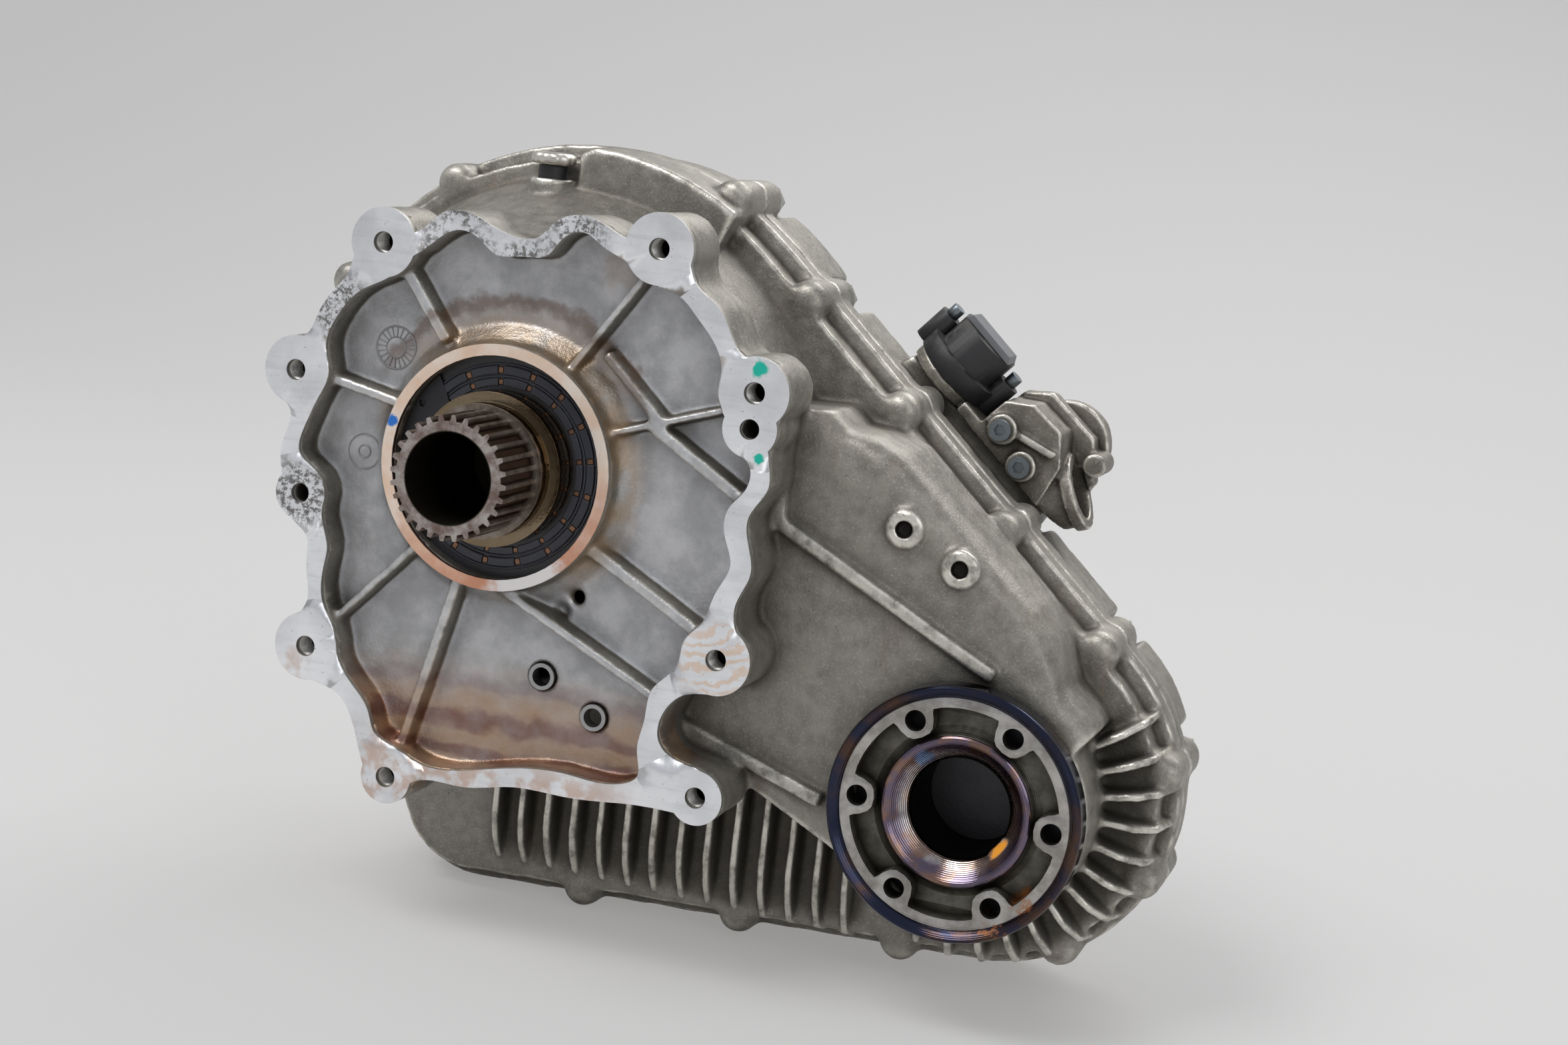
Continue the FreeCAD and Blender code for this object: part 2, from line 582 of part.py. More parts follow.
def build_rear_case():
    hub_back, neck_back = S.hub_back.value, S.neck_back.value
    hub, neck = S.hub_round.value, S.neck_round.value
    seat, boss = S.bolt_seat.value, S.boss_round.value
    crown = big_round - 3
    room = S.bolt_head.value + 0.8
    outside = [
        prism(case_outline(-step), back_flange - 1, rear_wall),
        lathe([(back_flange - 1, 0), (back_flange - 1, crown), (rear_wall - 8, crown), (rear_wall, crown - 4),
               (rear_wall + 6, crown - 15), (rear_wall + 16, hub + 18), (hub_back - 6, hub), (hub_back, hub - 8),
               (hub_back + 6, neck + 4), (neck_back, neck), (neck_back, 0)]),
        peg(OUTPUT_AXIS, 50, rear_wall - 3, rear_wall + 6)]
    outside += [peg(place, boss, seam, seat) for place in SEAM_BOLTS]
    for turn in range(10, 360, 45):
        start, end = heading(turn) * (neck - 2), heading(turn) * (hub - 3)
        outside.append(bar(start.x, start.z, end.x, end.z, 5, hub_back - 10, hub_back + 6))
    for turn in range(-150, 40, 38):
        start = deep(*OUTPUT_AXIS) + heading(turn) * 47
        end = deep(*OUTPUT_AXIS) + heading(turn) * (small_round - step - 2)
        outside.append(bar(start.x, start.z, end.x, end.z, 5, rear_wall - 1, rear_wall + 4))
    outside += [peg(place, 16, rear_wall - 3, rear_wall + 5) for place in (FILL_PLUG, DRAIN_PLUG)]
    shell = prism(case_outline(0), seam, back_flange).multiFuse(outside)
    bearing = S.rear_bearing_round.value
    inset = -step - wall - 8
    hollow = [
        prism(case_outline(inset), seam - 1, rear_wall - wall),
        lathe([(rear_wall - 10, 0), (rear_wall - 10, hub + 12), (hub_back - 14, hub - 9),
               (hub_back - 6, hub - 18), (hub_back - 6, 0)])]
    hollow += [peg(place, room, seat, neck_back) for place in SEAM_BOLTS]
    shell = shell.cut(hollow)
    shelf = big_round + inset + 2
    ledge = [on_side(shelf, 64), on_side(shelf, 166), on_side(ACTUATOR_OUT, 162), on_side(ACTUATOR_OUT, 66)]
    inside = [peg(OUTPUT_AXIS, S.pilot_round.value + 8, rear_wall - 26, rear_wall - 3),
              peg(INPUT_AXIS, bearing + 8, hub_back - 14, hub_back - 1),
              peg(on_side(RAIL_OUT, RAIL_DOWN), 11, rear_wall - 14, rear_wall - 3),
              prism(loop_of(ledge), seat + 11, rear_wall - 1)]
    shell = shell.multiFuse(inside)
    holes = [peg(INPUT_AXIS, bearing + S.fit.value, hub_back - 15, hub_back + 12),
             peg(INPUT_AXIS, bearing - 6, hub_back + 11, neck_back - 11),
             peg(INPUT_AXIS, S.rear_seal_round.value, neck_back - 12, neck_back + 1),
             peg(OUTPUT_AXIS, S.pilot_round.value + S.fit.value, rear_wall - 27, rear_wall - 7)]
    holes += [peg(place, 4.3, seam - 1, seat + 1) for place in SEAM_BOLTS]
    holes += [peg(place, 9.05, rear_wall - 9, rear_wall + 6) for place in (FILL_PLUG, DRAIN_PLUG)]
    holes.append(peg(on_side(RAIL_OUT, RAIL_DOWN), S.rail_radius.value + S.fit.value, rear_wall - 15, rear_wall - 8))
    holes.append(side_peg(CONTROL_DOWN, CONTROL_DEEP, S.control_round.value + S.fit.value, big_round - 40,
                          ACTUATOR_OUT + 1))
    return shell.cut(holes)


# ---------------------------------------------------------------- turned and toothed pieces
def teeth(body, count, root, tip, front, wide, share=0.3, turn=0.0):
    """A row of straight-sided teeth outside (tip over root) or inside (tip under root) a turned blank."""
    root, tip = plain(root), plain(tip)
    pitch = 2 * math.pi * root.value / plain(count).value
    sketch = new_sketch(body, depth=front)
    sink = -1 if tip.value > root.value else 1
    way = heading(90 - turn)
    corners = [(-pitch * share, root + sink), (-pitch * share * 0.55, tip),
               (pitch * share * 0.55, tip), (pitch * share, root + sink)]
    add_polygon(sketch, [(y * way.x + x * way.z, y * way.z - x * way.x) for x, y in corners])
    tooth = pad(body, sketch, wide)
    doc.recompute()
    circle_row(body, tooth, int(plain(count).value))


def build_input_shaft():
    front = S.gear_front
    body = turned("input_shaft", INPUT, [
        (S.shaft_front, S.shaft_bore), (S.shaft_front, S.spline_root), (S.spline_back, S.spline_root),
        (S.spline_back, S.neck_radius), (S.land_front, S.neck_radius), (S.land_front, S.land_radius),
        (S.bearing_front - 1, S.land_radius), (S.bearing_front - 1, S.journal),
        (S.bearing_front + S.bearing_wide, S.journal), (S.bearing_front + S.bearing_wide + 2, 26),
        (front, 26), (front, sun_pitch - 2.5), (front + S.gear_wide, sun_pitch - 2.5),
        (front + S.gear_wide, S.pilot_nose), (front + S.gear_wide + 12, S.pilot_nose),
        (front + S.gear_wide + 12, 0),
        (S.bearing_front, 0), (S.bearing_front, S.shaft_bore)])
    teeth(body, S.spline_teeth, S.spline_root, S.spline_tip, S.shaft_front, S.spline_back - S.shaft_front)
    teeth(body, S.sun_teeth, sun_pitch - 2.5, sun_pitch + 2, front, S.gear_wide)
    return body


def build_carrier():
    """Two plates joined by three bridges, with the planets between them."""
    front = S.gear_front - S.gap - S.plate_thick
    back = S.gear_front + S.gear_wide + S.gap
    body = turned("planet_carrier", INPUT, [
        (front, 28), (front, 64), (front + S.plate_thick, 64), (front + S.plate_thick, 28)])
    revolve(body, [(back, 15), (back, 64), (back + S.plate_thick, 64), (back + S.plate_thick, 15)])
    for turn in (30, 150, 270):
        middle = heading(turn) * 52
        disc(body, (middle.x, middle.z), 9, front + 1, back + 1)
    for place in planet_places:
        bore(body, place, S.pin_radius + 0.02, front - 1, back + S.plate_thick + 1)
    return body


def build_output_flange(label, place, front, turn_back):
    """A dished companion flange with six lobed bolt seats; turn_back faces it the other way."""
    way = -1 if turn_back else 1
    rim, dish, hub, hole = S.rim_round, S.dish_round, S.flange_hub, S.flange_bore

    def at(step):
        return front + way * step

    body = turned(label, place, [
        (at(0), dish), (at(0), rim), (at(12.5), rim), (at(15), dish), (at(15), hub), (at(56), hub),
        (at(56), hole), (at(28), hole), (at(23), hub - 4.5), (at(11), hub - 4.5), (at(11), dish)])
    near, far = sorted([at(3), at(12)], key=lambda size: size.value)
    for count in range(6):
        way_out = heading(60 * count)
        disc(body, (S.hole_circle * way_out.x, S.hole_circle * way_out.z), 10.5, near, far)
    near, far = sorted([at(-1), at(16)], key=lambda size: size.value)
    for count in range(6):
        way_out = heading(60 * count)
        bore(body, (S.hole_circle * way_out.x, S.hole_circle * way_out.z), 5.0, near, far)
    return body


def disc(body, place, radius, front, back):
    """A round pad of an XZ sketch."""
    sketch = new_sketch(body, depth=front)
    add_circle(sketch, place[0], place[1], radius)
    return pad(body, sketch, plain(back) - plain(front))


def bore(body, place, radius, front, back):
    """A round hole from front to back."""
    sketch = new_sketch(body, depth=front)
    add_circle(sketch, place[0], place[1], radius)
    return pocket(body, sketch, plain(back) - plain(front))


def bearing(label, place, front, wide, inner, outer):
    """A ball bearing's two races and cage drawn as one ring with grooved faces."""
    third = (outer - inner) / 3
    return turned(label, place, [
        (front, inner + S.fit), (front, inner + third), (front + 2, inner + third), (front + 2, outer - third),
        (front, outer - third), (front, outer), (front + wide, outer), (front + wide, outer - third),
        (front + wide - 2, outer - third), (front + wide - 2, inner + third), (front + wide, inner + third),
        (front + wide, inner + S.fit)])


sun_pitch = S.sun_teeth * S.gear_module / 2
planet_pitch = S.planet_teeth * S.gear_module / 2
ring_pitch = sun_pitch + planet_pitch * 2
pin_circle = sun_pitch + planet_pitch
planet_places = [(pin_circle * heading(turn).x, pin_circle * heading(turn).z) for turn in (90, 210, 330)]
ring_teeth = S.sun_teeth + S.planet_teeth * 2
back_of_gears = S.gear_front + S.gear_wide + S.gap + S.plate_thick

build_input_shaft()
build_carrier()
for count, place in enumerate(planet_places, 1):
    gear = turned("planet_gear_%d" % count, place, [
        (S.gear_front, S.pin_radius + S.fit), (S.gear_front, planet_pitch - 2.5),
        (S.gear_front + S.gear_wide, planet_pitch - 2.5), (S.gear_front + S.gear_wide, S.pin_radius + S.fit)])
    teeth(gear, S.planet_teeth, planet_pitch - 2.5, planet_pitch + 1.6, S.gear_front, S.gear_wide, 0.28)
    front = S.gear_front - S.gap - S.plate_thick
    turned("planet_pin_%d" % count, place, [
        (front, 0), (front, S.pin_radius), (back_of_gears, S.pin_radius), (back_of_gears, 0)])
bell_bore = S.bell_front - S.case_wall
back = S.gear_front + S.gear_wide
annulus = turned("ring_gear", INPUT, [
    (S.gear_front, ring_pitch + 2.5), (S.gear_front, ring_pitch + 9), (back - 5, ring_pitch + 9),
    (back - 5, bell_bore - 0.3), (back, bell_bore - 0.3), (back, ring_pitch + 2.5)])
teeth(annulus, ring_teeth, ring_pitch + 2.5, ring_pitch - 1.6, S.gear_front, S.gear_wide, 0.28,
      turn=180 / plain(ring_teeth).value)

rear_seat = S.hub_back - 8
pilot_end = S.gear_front + S.gear_wide + 12
turned("main_shaft", INPUT, [
    (pilot_end + S.gap, 0), (pilot_end + S.gap, S.pilot_nose + S.fit),
    (back_of_gears + 0.02, S.pilot_nose + S.fit), (back_of_gears + 0.02, 38), (back_of_gears + 4, 38), (back_of_gears + 4, S.main_radius),
    (S.neck_back + 30, S.main_radius), (S.neck_back + 30, 0)])
sleeve_back = S.chain_front + S.chain_wide + 16
sprocket = turned("drive_sprocket", INPUT, [
    (S.chain_front, S.main_radius + S.fit), (S.chain_front, S.chain_pitch_round - 5),
    (S.chain_front + S.chain_wide, S.chain_pitch_round - 5), (S.chain_front + S.chain_wide, 30),
    (sleeve_back, 30), (sleeve_back, S.main_radius + S.fit)])
teeth(sprocket, S.sprocket_teeth, S.chain_pitch_round - 5, S.chain_pitch_round - 0.6, S.chain_front, S.chain_wide)
sleeve_front = sleeve_back + 2
turned("mode_sleeve", INPUT, [
    (sleeve_front, S.main_radius + S.fit), (sleeve_front, 38), (sleeve_front + 5, 38), (sleeve_front + 5, 34),
    (sleeve_front + 13, 34), (sleeve_front + 13, 38), (sleeve_front + 18, 38),
    (sleeve_front + 18, S.main_radius + S.fit)])

ring("input_seal", INPUT, S.seal_front, S.seal_thick, S.land_radius + S.fit, S.ring_bore - 0.02)
bearing("input_bearing", INPUT, S.bearing_front, S.bearing_wide, S.journal, S.bearing_round)
bearing("rear_bearing", INPUT, rear_seat, plain(18), S.main_radius, S.rear_bearing_round)
ring("rear_seal", INPUT, S.neck_back - 11, 10, S.flange_hub + S.fit, S.rear_seal_round - 0.02)
build_output_flange("rear_output_flange", INPUT, S.neck_back + 42, True)
turned("rear_flange_nut", INPUT, [
    (S.neck_back + 20.5, S.main_radius + 0.02), (S.neck_back + 20.5, 29), (S.neck_back + 29, 29),
    (S.neck_back + 29, S.main_radius + 0.02)])

build_output_flange("front_output_flange", OUTPUT, S.rim_front, False)
hub_end = S.rim_front + 56
turned("front_output_shaft", OUTPUT, [
    (hub_end - 6, 0), (hub_end - 6, S.flange_bore - 0.02), (hub_end + S.gap, S.flange_bore - 0.02),
    (hub_end + S.gap, 31), (S.chain_front - 2, 31), (S.chain_front - 2, 24),
    (S.chain_front + S.chain_wide + 4, 24), (S.chain_front + S.chain_wide + 4, 18),
    (S.rear_wall_back - 9, 18), (S.rear_wall_back - 9, 0)])
driven = turned("driven_sprocket", OUTPUT, [
    (S.chain_front, plain(24.02)), (S.chain_front, S.chain_pitch_round - 5),
    (S.chain_front + S.chain_wide, S.chain_pitch_round - 5), (S.chain_front + S.chain_wide, plain(24.02))])
teeth(driven, S.sprocket_teeth, S.chain_pitch_round - 5, S.chain_pitch_round - 0.6, S.chain_front, S.chain_wide)
ring("front_output_seal", OUTPUT, S.panel_face + 3, 9, S.flange_hub + S.fit, S.output_seal_round - 0.02)
bearing("front_output_bearing", OUTPUT, plain(50.5), plain(20), S.flange_hub, S.output_bearing_round)
bearing("output_pilot_bearing", OUTPUT, S.rear_wall_back - 25, plain(16), plain(18), S.pilot_round)


# ---------------------------------------------------------------- groups and solid pieces
def chain_links():
    """The drive chain as its separate links, round both sprockets and along both strands."""
    reach = S.chain_pitch_round.value
    front, wide = S.chain_front.value + 1, S.chain_wide.value - 2
    across = deep(axis_x, axis_z)
    strand = math.degrees(math.atan2(axis_z, axis_x))
    turn = 360 / S.sprocket_teeth.value
    pitch = 2 * reach * math.sin(math.radians(turn / 2))
    count = round(across.Length / pitch)
    places = []
    for side in (90, -90):
        for number in range(count):
            middle = across * ((number + 0.5) / count) + heading(strand + side) * reach
            places.append((middle, strand + side))
    for number in range(int(S.sprocket_teeth.value) // 2):
        way = strand + 90 + (number + 0.5) * turn
        places.append((heading(way) * reach, way))
        places.append((across + heading(way + 180) * reach, way + 180))
    links = []
    for middle, way in places:
        link = Part.makeBox(pitch * 0.93, wide, 5.6, Vector(-pitch * 0.465, 0, 0.2))
        link.rotate(Vector(0, 0, 0), Vector(0, 1, 0), 90 - way)
        link.translate(Vector(middle.x, front, middle.z))
        links.append(link)
    return Part.makeCompound(links)


def hexagon(place, across_flats, front, back):
    """A hexagonal bar along Y."""
    reach = across_flats / math.sqrt(3)
    corners = [(place[0] + reach * heading(60 * k).x, place[1] + reach * heading(60 * k).z) for k in range(6)]
    return prism(loop_of(corners), front, back)


def seam_bolt(place):
    seat = S.bolt_seat.value
    head = peg(place, S.bolt_head.value, seat, seat + 1.6).fuse(hexagon(place, 13, seat + 1, seat + 8))
    return head.fuse(peg(place, 3.95, seam - 18, seat + 2))


def plug(place):
    back = rear_wall + 5
    body = peg(place, 9.0, back - 12, back + 1).fuse(peg(place, 13, back, back + 4))
    return body.cut(hexagon(place, 10, back - 2, back + 5))


casting("front_case", build_front_case())
casting("rear_case", build_rear_case())
casting("drive_chain", chain_links())
casting("case_bolts", Part.makeCompound([seam_bolt(place) for place in SEAM_BOLTS]))
casting("web_bushes", Part.makeCompound([
    peg(place, 6.05, S.web_face.value - 1, web_back.value).cut(peg(place, 4.3, 0, 40)) for place in BUSH_PLACES]))
casting("fill_plug", plug(FILL_PLUG))
casting("drain_plug", plug(DRAIN_PLUG))

rail = on_side(RAIL_OUT, RAIL_DOWN)
casting("shift_rail", peg(rail, S.rail_radius.value, S.chain_front.value + 26, rear_wall - 9))
groove = sleeve_front.value + 5.3
fork = peg(rail, 12, groove - 3, groove + 11).fuse(bar(*rail, *on_side(44, 16), 12, groove, groove + 7.4))
fork = fork.fuse(peg(INPUT_AXIS, 48, groove, groove + 7.4).cut(
    bar(*on_side(0, 0), *on_side(-60, -26), 110, groove - 1, groove + 9)))
fork = fork.cut([peg(INPUT_AXIS, 34.4, groove - 4, groove + 12),
                 peg(rail, S.rail_radius.value + S.fit.value, groove - 4, groove + 12)])
casting("shift_fork", fork)
low = ACTUATOR_OUT + S.gap.value
lever = big_round - 27
casting("control_shaft", side_peg(CONTROL_DOWN, CONTROL_DEEP, S.control_round.value, lever, low + 3).fuse(
    side_peg(CONTROL_DOWN, CONTROL_DEEP, S.control_round.value + 1.5, lever, lever + 5)))


def side_block(corners, front, back):
    """A prism whose outline is given in (out, down) steps on the upper flat."""
    return prism(loop_of([on_side(out, down) for out, down in corners]), front, back)


def build_actuator_housing():
    """The gear housing on the side of the rear shell, with the motor's neck, screw columns and open socket."""
    front, back = CONTROL_DEEP - 18, CONTROL_DEEP + 8
    edge = CONTROL_DOWN + MOTOR_REACH + 1
    body = [(low, edge - 12), (low + 6, edge - 12), (low + 6, edge), (low + 21, edge), (low + 30, 122),
            (low + 31, 140), (low + 20, 152), (low, 158)]
    plate = [(low, edge - 12), (low + 6, edge - 12), (low + 6, edge), (low + 25, edge), (low + 35, 121),
             (low + 36, 150), (low + 22, 166), (low + 6, 168), (low, 162)]
    socket = deep(*SOCKET_MOUTH, CONTROL_DEEP) - heading(SOCKET_TURN) * 44
    shell = side_block(body, front, back).multiFuse([
        side_block(plate, back - 1, back + 10),
        side_peg(CONTROL_DOWN, CONTROL_DEEP, 19.5, low, low + 6),
        peg(on_side(*COLUMNS[0]), 7.2, front - 5, back), peg(on_side(*COLUMNS[1]), 7.2, front - 5, back),
        side_block([(low + 8, 112), (low + 12, 112), (low + 24, 146), (low + 20, 146)], front - 3, front + 1),
        peg(on_side(low + 30, 160), 5.5, back - 12, back + 10),
        Part.makeCylinder(SOCKET_ROUND, 44, socket, heading(SOCKET_TURN)),
        Part.makeCylinder(SOCKET_ROUND + 2, 6, socket + heading(SOCKET_TURN) * 38, heading(SOCKET_TURN))])
    under = side_block([(low, 40), (low, 220), (low - 60, 220), (low - 60, 40)], 60, 240)
    mouth = Part.makeCylinder(SOCKET_ROUND - 3.2, 25, socket + heading(SOCKET_TURN) * 20, heading(SOCKET_TURN))
    return shell.cut([under, mouth, side_peg(CONTROL_DOWN, CONTROL_DEEP, S.control_round.value + S.gap.value,
                                             low - 1, low + 3 + S.gap.value)])


def build_actuator_motor():
    """The black motor: a stepped drum with two screw ears."""
    drum = side_peg(CONTROL_DOWN, CONTROL_DEEP, EAR_OUT, MOTOR_FOOT, MOTOR_FOOT + 9)
    ears = [side_peg(CONTROL_DOWN + way * EAR_OUT, CONTROL_DEEP, MOTOR_REACH - EAR_OUT, MOTOR_FOOT, MOTOR_FOOT + 17)
            for way in (-1, 1)]
    return drum.multiFuse(ears + [side_peg(CONTROL_DOWN, CONTROL_DEEP, 16, MOTOR_FOOT, MOTOR_FOOT + 24)])


MOTOR_FOOT = low + 6.3
EAR_OUT = 21.0
MOTOR_REACH = 26.5
SOCKET_MOUTH = (230.0, 11.0)
SOCKET_TURN = 22.0
SOCKET_ROUND = 16.0
COLUMNS = [(low + 12.0, 121.0), (low + 7.5, 139.5)]
casting("actuator_housing", build_actuator_housing())
cover_front = CONTROL_DEEP + 18.3
casting("actuator_cover", lathe([
    (cover_front, 0), (cover_front, 21), (cover_front + 12, 20.5), (cover_front + 18, 17), (cover_front + 21, 9),
    (cover_front + 21, 0)], on_side(low + 21, 142)))
casting("actuator_motor", build_actuator_motor())
top = MOTOR_FOOT + 24.3
casting("actuator_end", side_block([(top, CONTROL_DOWN - 15), (top + 3, CONTROL_DOWN - 13),
                                    (top + 3, CONTROL_DOWN + 13), (top, CONTROL_DOWN + 15)],
                                   CONTROL_DEEP - 10, CONTROL_DEEP + 5))
screws = []
for out, down in COLUMNS:
    seat = CONTROL_DEEP - 23.3
    head = peg(on_side(out, down), 5.0, seat - 3.4, seat)
    screws.append(head.cut(hexagon(on_side(out, down), 5, seat - 4, seat - 1.2)))
for way in (-1, 1):
    head = MOTOR_FOOT + 17.3
    screws.append(side_peg(CONTROL_DOWN + way * EAR_OUT, CONTROL_DEEP, 3.2, head, head + 5))
casting("actuator_screws", Part.makeCompound(screws))
casting("breather_stem", upright_peg(BREATHER, S.stem_round.value, BREATHER_SEAT - 10, BREATHER_SEAT + 5))
casting("breather_cap", upright_peg(BREATHER, 11.0, BREATHER_SEAT + 5.3, BREATHER_SEAT + 11))

# ---------------------------------------------------------------- checks and export
doc.recompute()
for thing in doc.Objects:
    if "Invalid" in thing.State or "Error" in thing.State:
        raise RuntimeError("%s failed" % thing.Name)
pieces = [thing for thing in doc.Objects if thing.TypeId in ("PartDesign::Body", "Part::Feature")]
for piece in pieces:
    if piece.Shape.isNull() or not piece.Shape.isValid():
        raise RuntimeError("%s has no valid shape" % piece.Label)
for piece in pieces:
    piece.Shape.exportStep("parts/%s.step" % piece.Label)
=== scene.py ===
"""The looks of the transfer case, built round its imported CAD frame. Metres, +Z up, -Y towards the gearbox."""
import json
import math

import bmesh
import bpy
import numpy as np
from mathutils import Matrix, Vector


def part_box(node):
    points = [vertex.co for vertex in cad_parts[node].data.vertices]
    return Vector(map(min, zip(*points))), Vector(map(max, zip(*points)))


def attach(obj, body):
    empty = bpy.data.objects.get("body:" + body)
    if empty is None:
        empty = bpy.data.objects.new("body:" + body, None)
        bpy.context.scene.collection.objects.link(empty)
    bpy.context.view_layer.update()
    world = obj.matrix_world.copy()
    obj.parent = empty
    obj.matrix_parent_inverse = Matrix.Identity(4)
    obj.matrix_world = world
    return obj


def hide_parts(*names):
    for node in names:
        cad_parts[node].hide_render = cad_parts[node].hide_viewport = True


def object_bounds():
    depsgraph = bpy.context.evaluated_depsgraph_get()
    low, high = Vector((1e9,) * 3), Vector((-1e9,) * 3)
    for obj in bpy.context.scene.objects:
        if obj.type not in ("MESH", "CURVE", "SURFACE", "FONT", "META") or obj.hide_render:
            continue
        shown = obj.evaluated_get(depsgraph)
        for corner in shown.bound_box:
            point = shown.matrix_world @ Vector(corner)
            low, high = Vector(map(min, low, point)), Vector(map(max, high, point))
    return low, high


MM = 0.001
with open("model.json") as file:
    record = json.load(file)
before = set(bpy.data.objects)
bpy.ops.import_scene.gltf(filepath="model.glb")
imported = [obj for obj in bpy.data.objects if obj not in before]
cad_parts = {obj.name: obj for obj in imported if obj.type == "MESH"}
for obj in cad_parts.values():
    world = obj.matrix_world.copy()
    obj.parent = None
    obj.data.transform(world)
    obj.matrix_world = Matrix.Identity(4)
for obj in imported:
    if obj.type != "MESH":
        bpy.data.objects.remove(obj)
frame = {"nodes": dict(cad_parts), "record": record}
nodes = frame["nodes"]
cad_low, cad_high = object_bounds()

# ---------------------------------------------------------------- driving sizes, metres and degrees
WEB = 0.016                                     # the recessed web behind the mating face
RIM_DEEP = 0.003                                # the slice of the mating face that stays exact
SKIN_START = 0.0025                             # where the cast skin starts, inside that slice
HOLE_KEEP = 0.0052                              # how far round a bracket hole the casting stays exact
WEB_DIMPLE = (0.0328, -0.0606, 0.016, 0.003)    # a small hole in the web: x, z, depth and radius
DIMPLE_DEEP = 0.004
LARGE_DIAL = (-0.0599, 0, 0.0438)               # two round foundry marks on the web
SMALL_DIAL = (-0.0708, 0, -0.0049)
SHOULDER_TURN = 48.5                            # the way that the case's upper flat faces
SHOULDER_ROOT = 118                             # where the panel's shoulder leaves the wall, millimetres
SEAL_PADS = 17                                  # pads in one row round the input seal
PLATE_START = 133.0                             # the two ends of the seal's retaining plate
PLATE_END = 229.0
CASE_VOXEL = 0.0013                             # grain of the castings' skins
SMALL_VOXEL = 0.0008
SKIN_WAVE = 0.00007                             # how uneven a cast skin is
SKIN_SEED = 11
STAGE_TONE = (0.62, 0.61, 0.60)
STAGE_GLOW = 0.45                               # how much of that tone the camera sees unshaded
CAMERA_PLACE = (0.45204, -1.00695, 0.16919)
CAMERA_TURNS = (-17.474, -9.205, 6.859)         # azimuth, elevation and roll
CAMERA_LENS = 58.36                             # millimetres, on a sensor 36 mm wide


# ---------------------------------------------------------------- places taken from the frame
def middle(node):
    """The centre of a node's box."""
    low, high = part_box(node)
    return (low + high) / 2


def front(node):
    """The foremost depth of a node."""
    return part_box(node)[0].y


def back(node):
    """The rearmost depth of a node."""
    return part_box(node)[1].y


mounts = {mount["name"]: mount for mount in frame["record"]["mounts"]}
OUTPUT = middle("front_output_flange")
face_bolts = [Vector(mount["pos_m"]) for name, mount in mounts.items() if name.startswith("face_bolt")]
brackets = [Vector(mount["pos_m"]) for name, mount in mounts.items() if name.startswith("bracket_hole")]


# ---------------------------------------------------------------- soft skins for the castings
def link(name, mesh):
    """A new object of a mesh."""
    thing = bpy.data.objects.new(name, mesh)
    bpy.context.scene.collection.objects.link(thing)
    return thing


def applied(thing, name):
    """A thing's mesh with its modifiers applied, under a new name, in its place."""
    graph = bpy.context.evaluated_depsgraph_get()
    mesh = bpy.data.meshes.new_from_object(thing.evaluated_get(graph), depsgraph=graph)
    bpy.data.objects.remove(thing)
    mesh.name = name
    return mesh


def read(collection, key, width):
    """One property of a mesh's elements as an array."""
    values = np.empty(len(collection) * width, np.int32 if key == "vertices" else np.float32)
    collection.foreach_get(key, values)
    return values.reshape(-1, width)


def mean_of_neighbours(values, links, count):
    """The mean of each value's neighbours in a net, of which it has count."""
    first, second = links.T
    total = [np.bincount(first, column[second], len(values)) + np.bincount(second, column[first], len(values))
             for column in values.T]
    return np.stack(total, 1) / count[:, None]


def relax(values, links, passes, weight=1.0):
    """Draws each value of a net towards its neighbours' mean."""
    count = np.bincount(links.ravel(), minlength=len(values)).clip(1)
    for _ in range(passes):
        values = values + weight * (mean_of_neighbours(values, links, count) - values)
    return values


def store(mesh, name, values):
    """Keeps one value for each corner with a mesh, for the materials to read."""
    layer = mesh.attributes.new(name, "FLOAT", "POINT")
    layer.data.foreach_set("value", values.astype(np.float32))


def split_at(mesh, depth, keep_front):
    """Cuts a mesh at a depth, keeps one side of it and closes the cut."""
    shape = bmesh.new()
    shape.from_mesh(mesh)
    bmesh.ops.remove_doubles(shape, verts=shape.verts, dist=1e-6)
    cut = bmesh.ops.bisect_plane(
        shape, geom=shape.verts[:] + shape.edges[:] + shape.faces[:], dist=1e-7, plane_co=(0, depth, 0),
        plane_no=(0, 1, 0), clear_inner=not keep_front, clear_outer=keep_front)
    edges = [part for part in cut["geom_cut"] if isinstance(part, bmesh.types.BMEdge)]
    bmesh.ops.triangle_fill(shape, use_beauty=True, use_dissolve=False, edges=edges)
    bmesh.ops.recalc_face_normals(shape, faces=shape.faces)
    shape.to_mesh(mesh)
    shape.free()


def join_meshes(name, meshes):
    """One mesh of several."""
    shape = bmesh.new()
    for mesh in meshes:
        shape.from_mesh(mesh)
    joined = bpy.data.meshes.new(name)
    shape.to_mesh(joined)
    shape.free()
    return joined


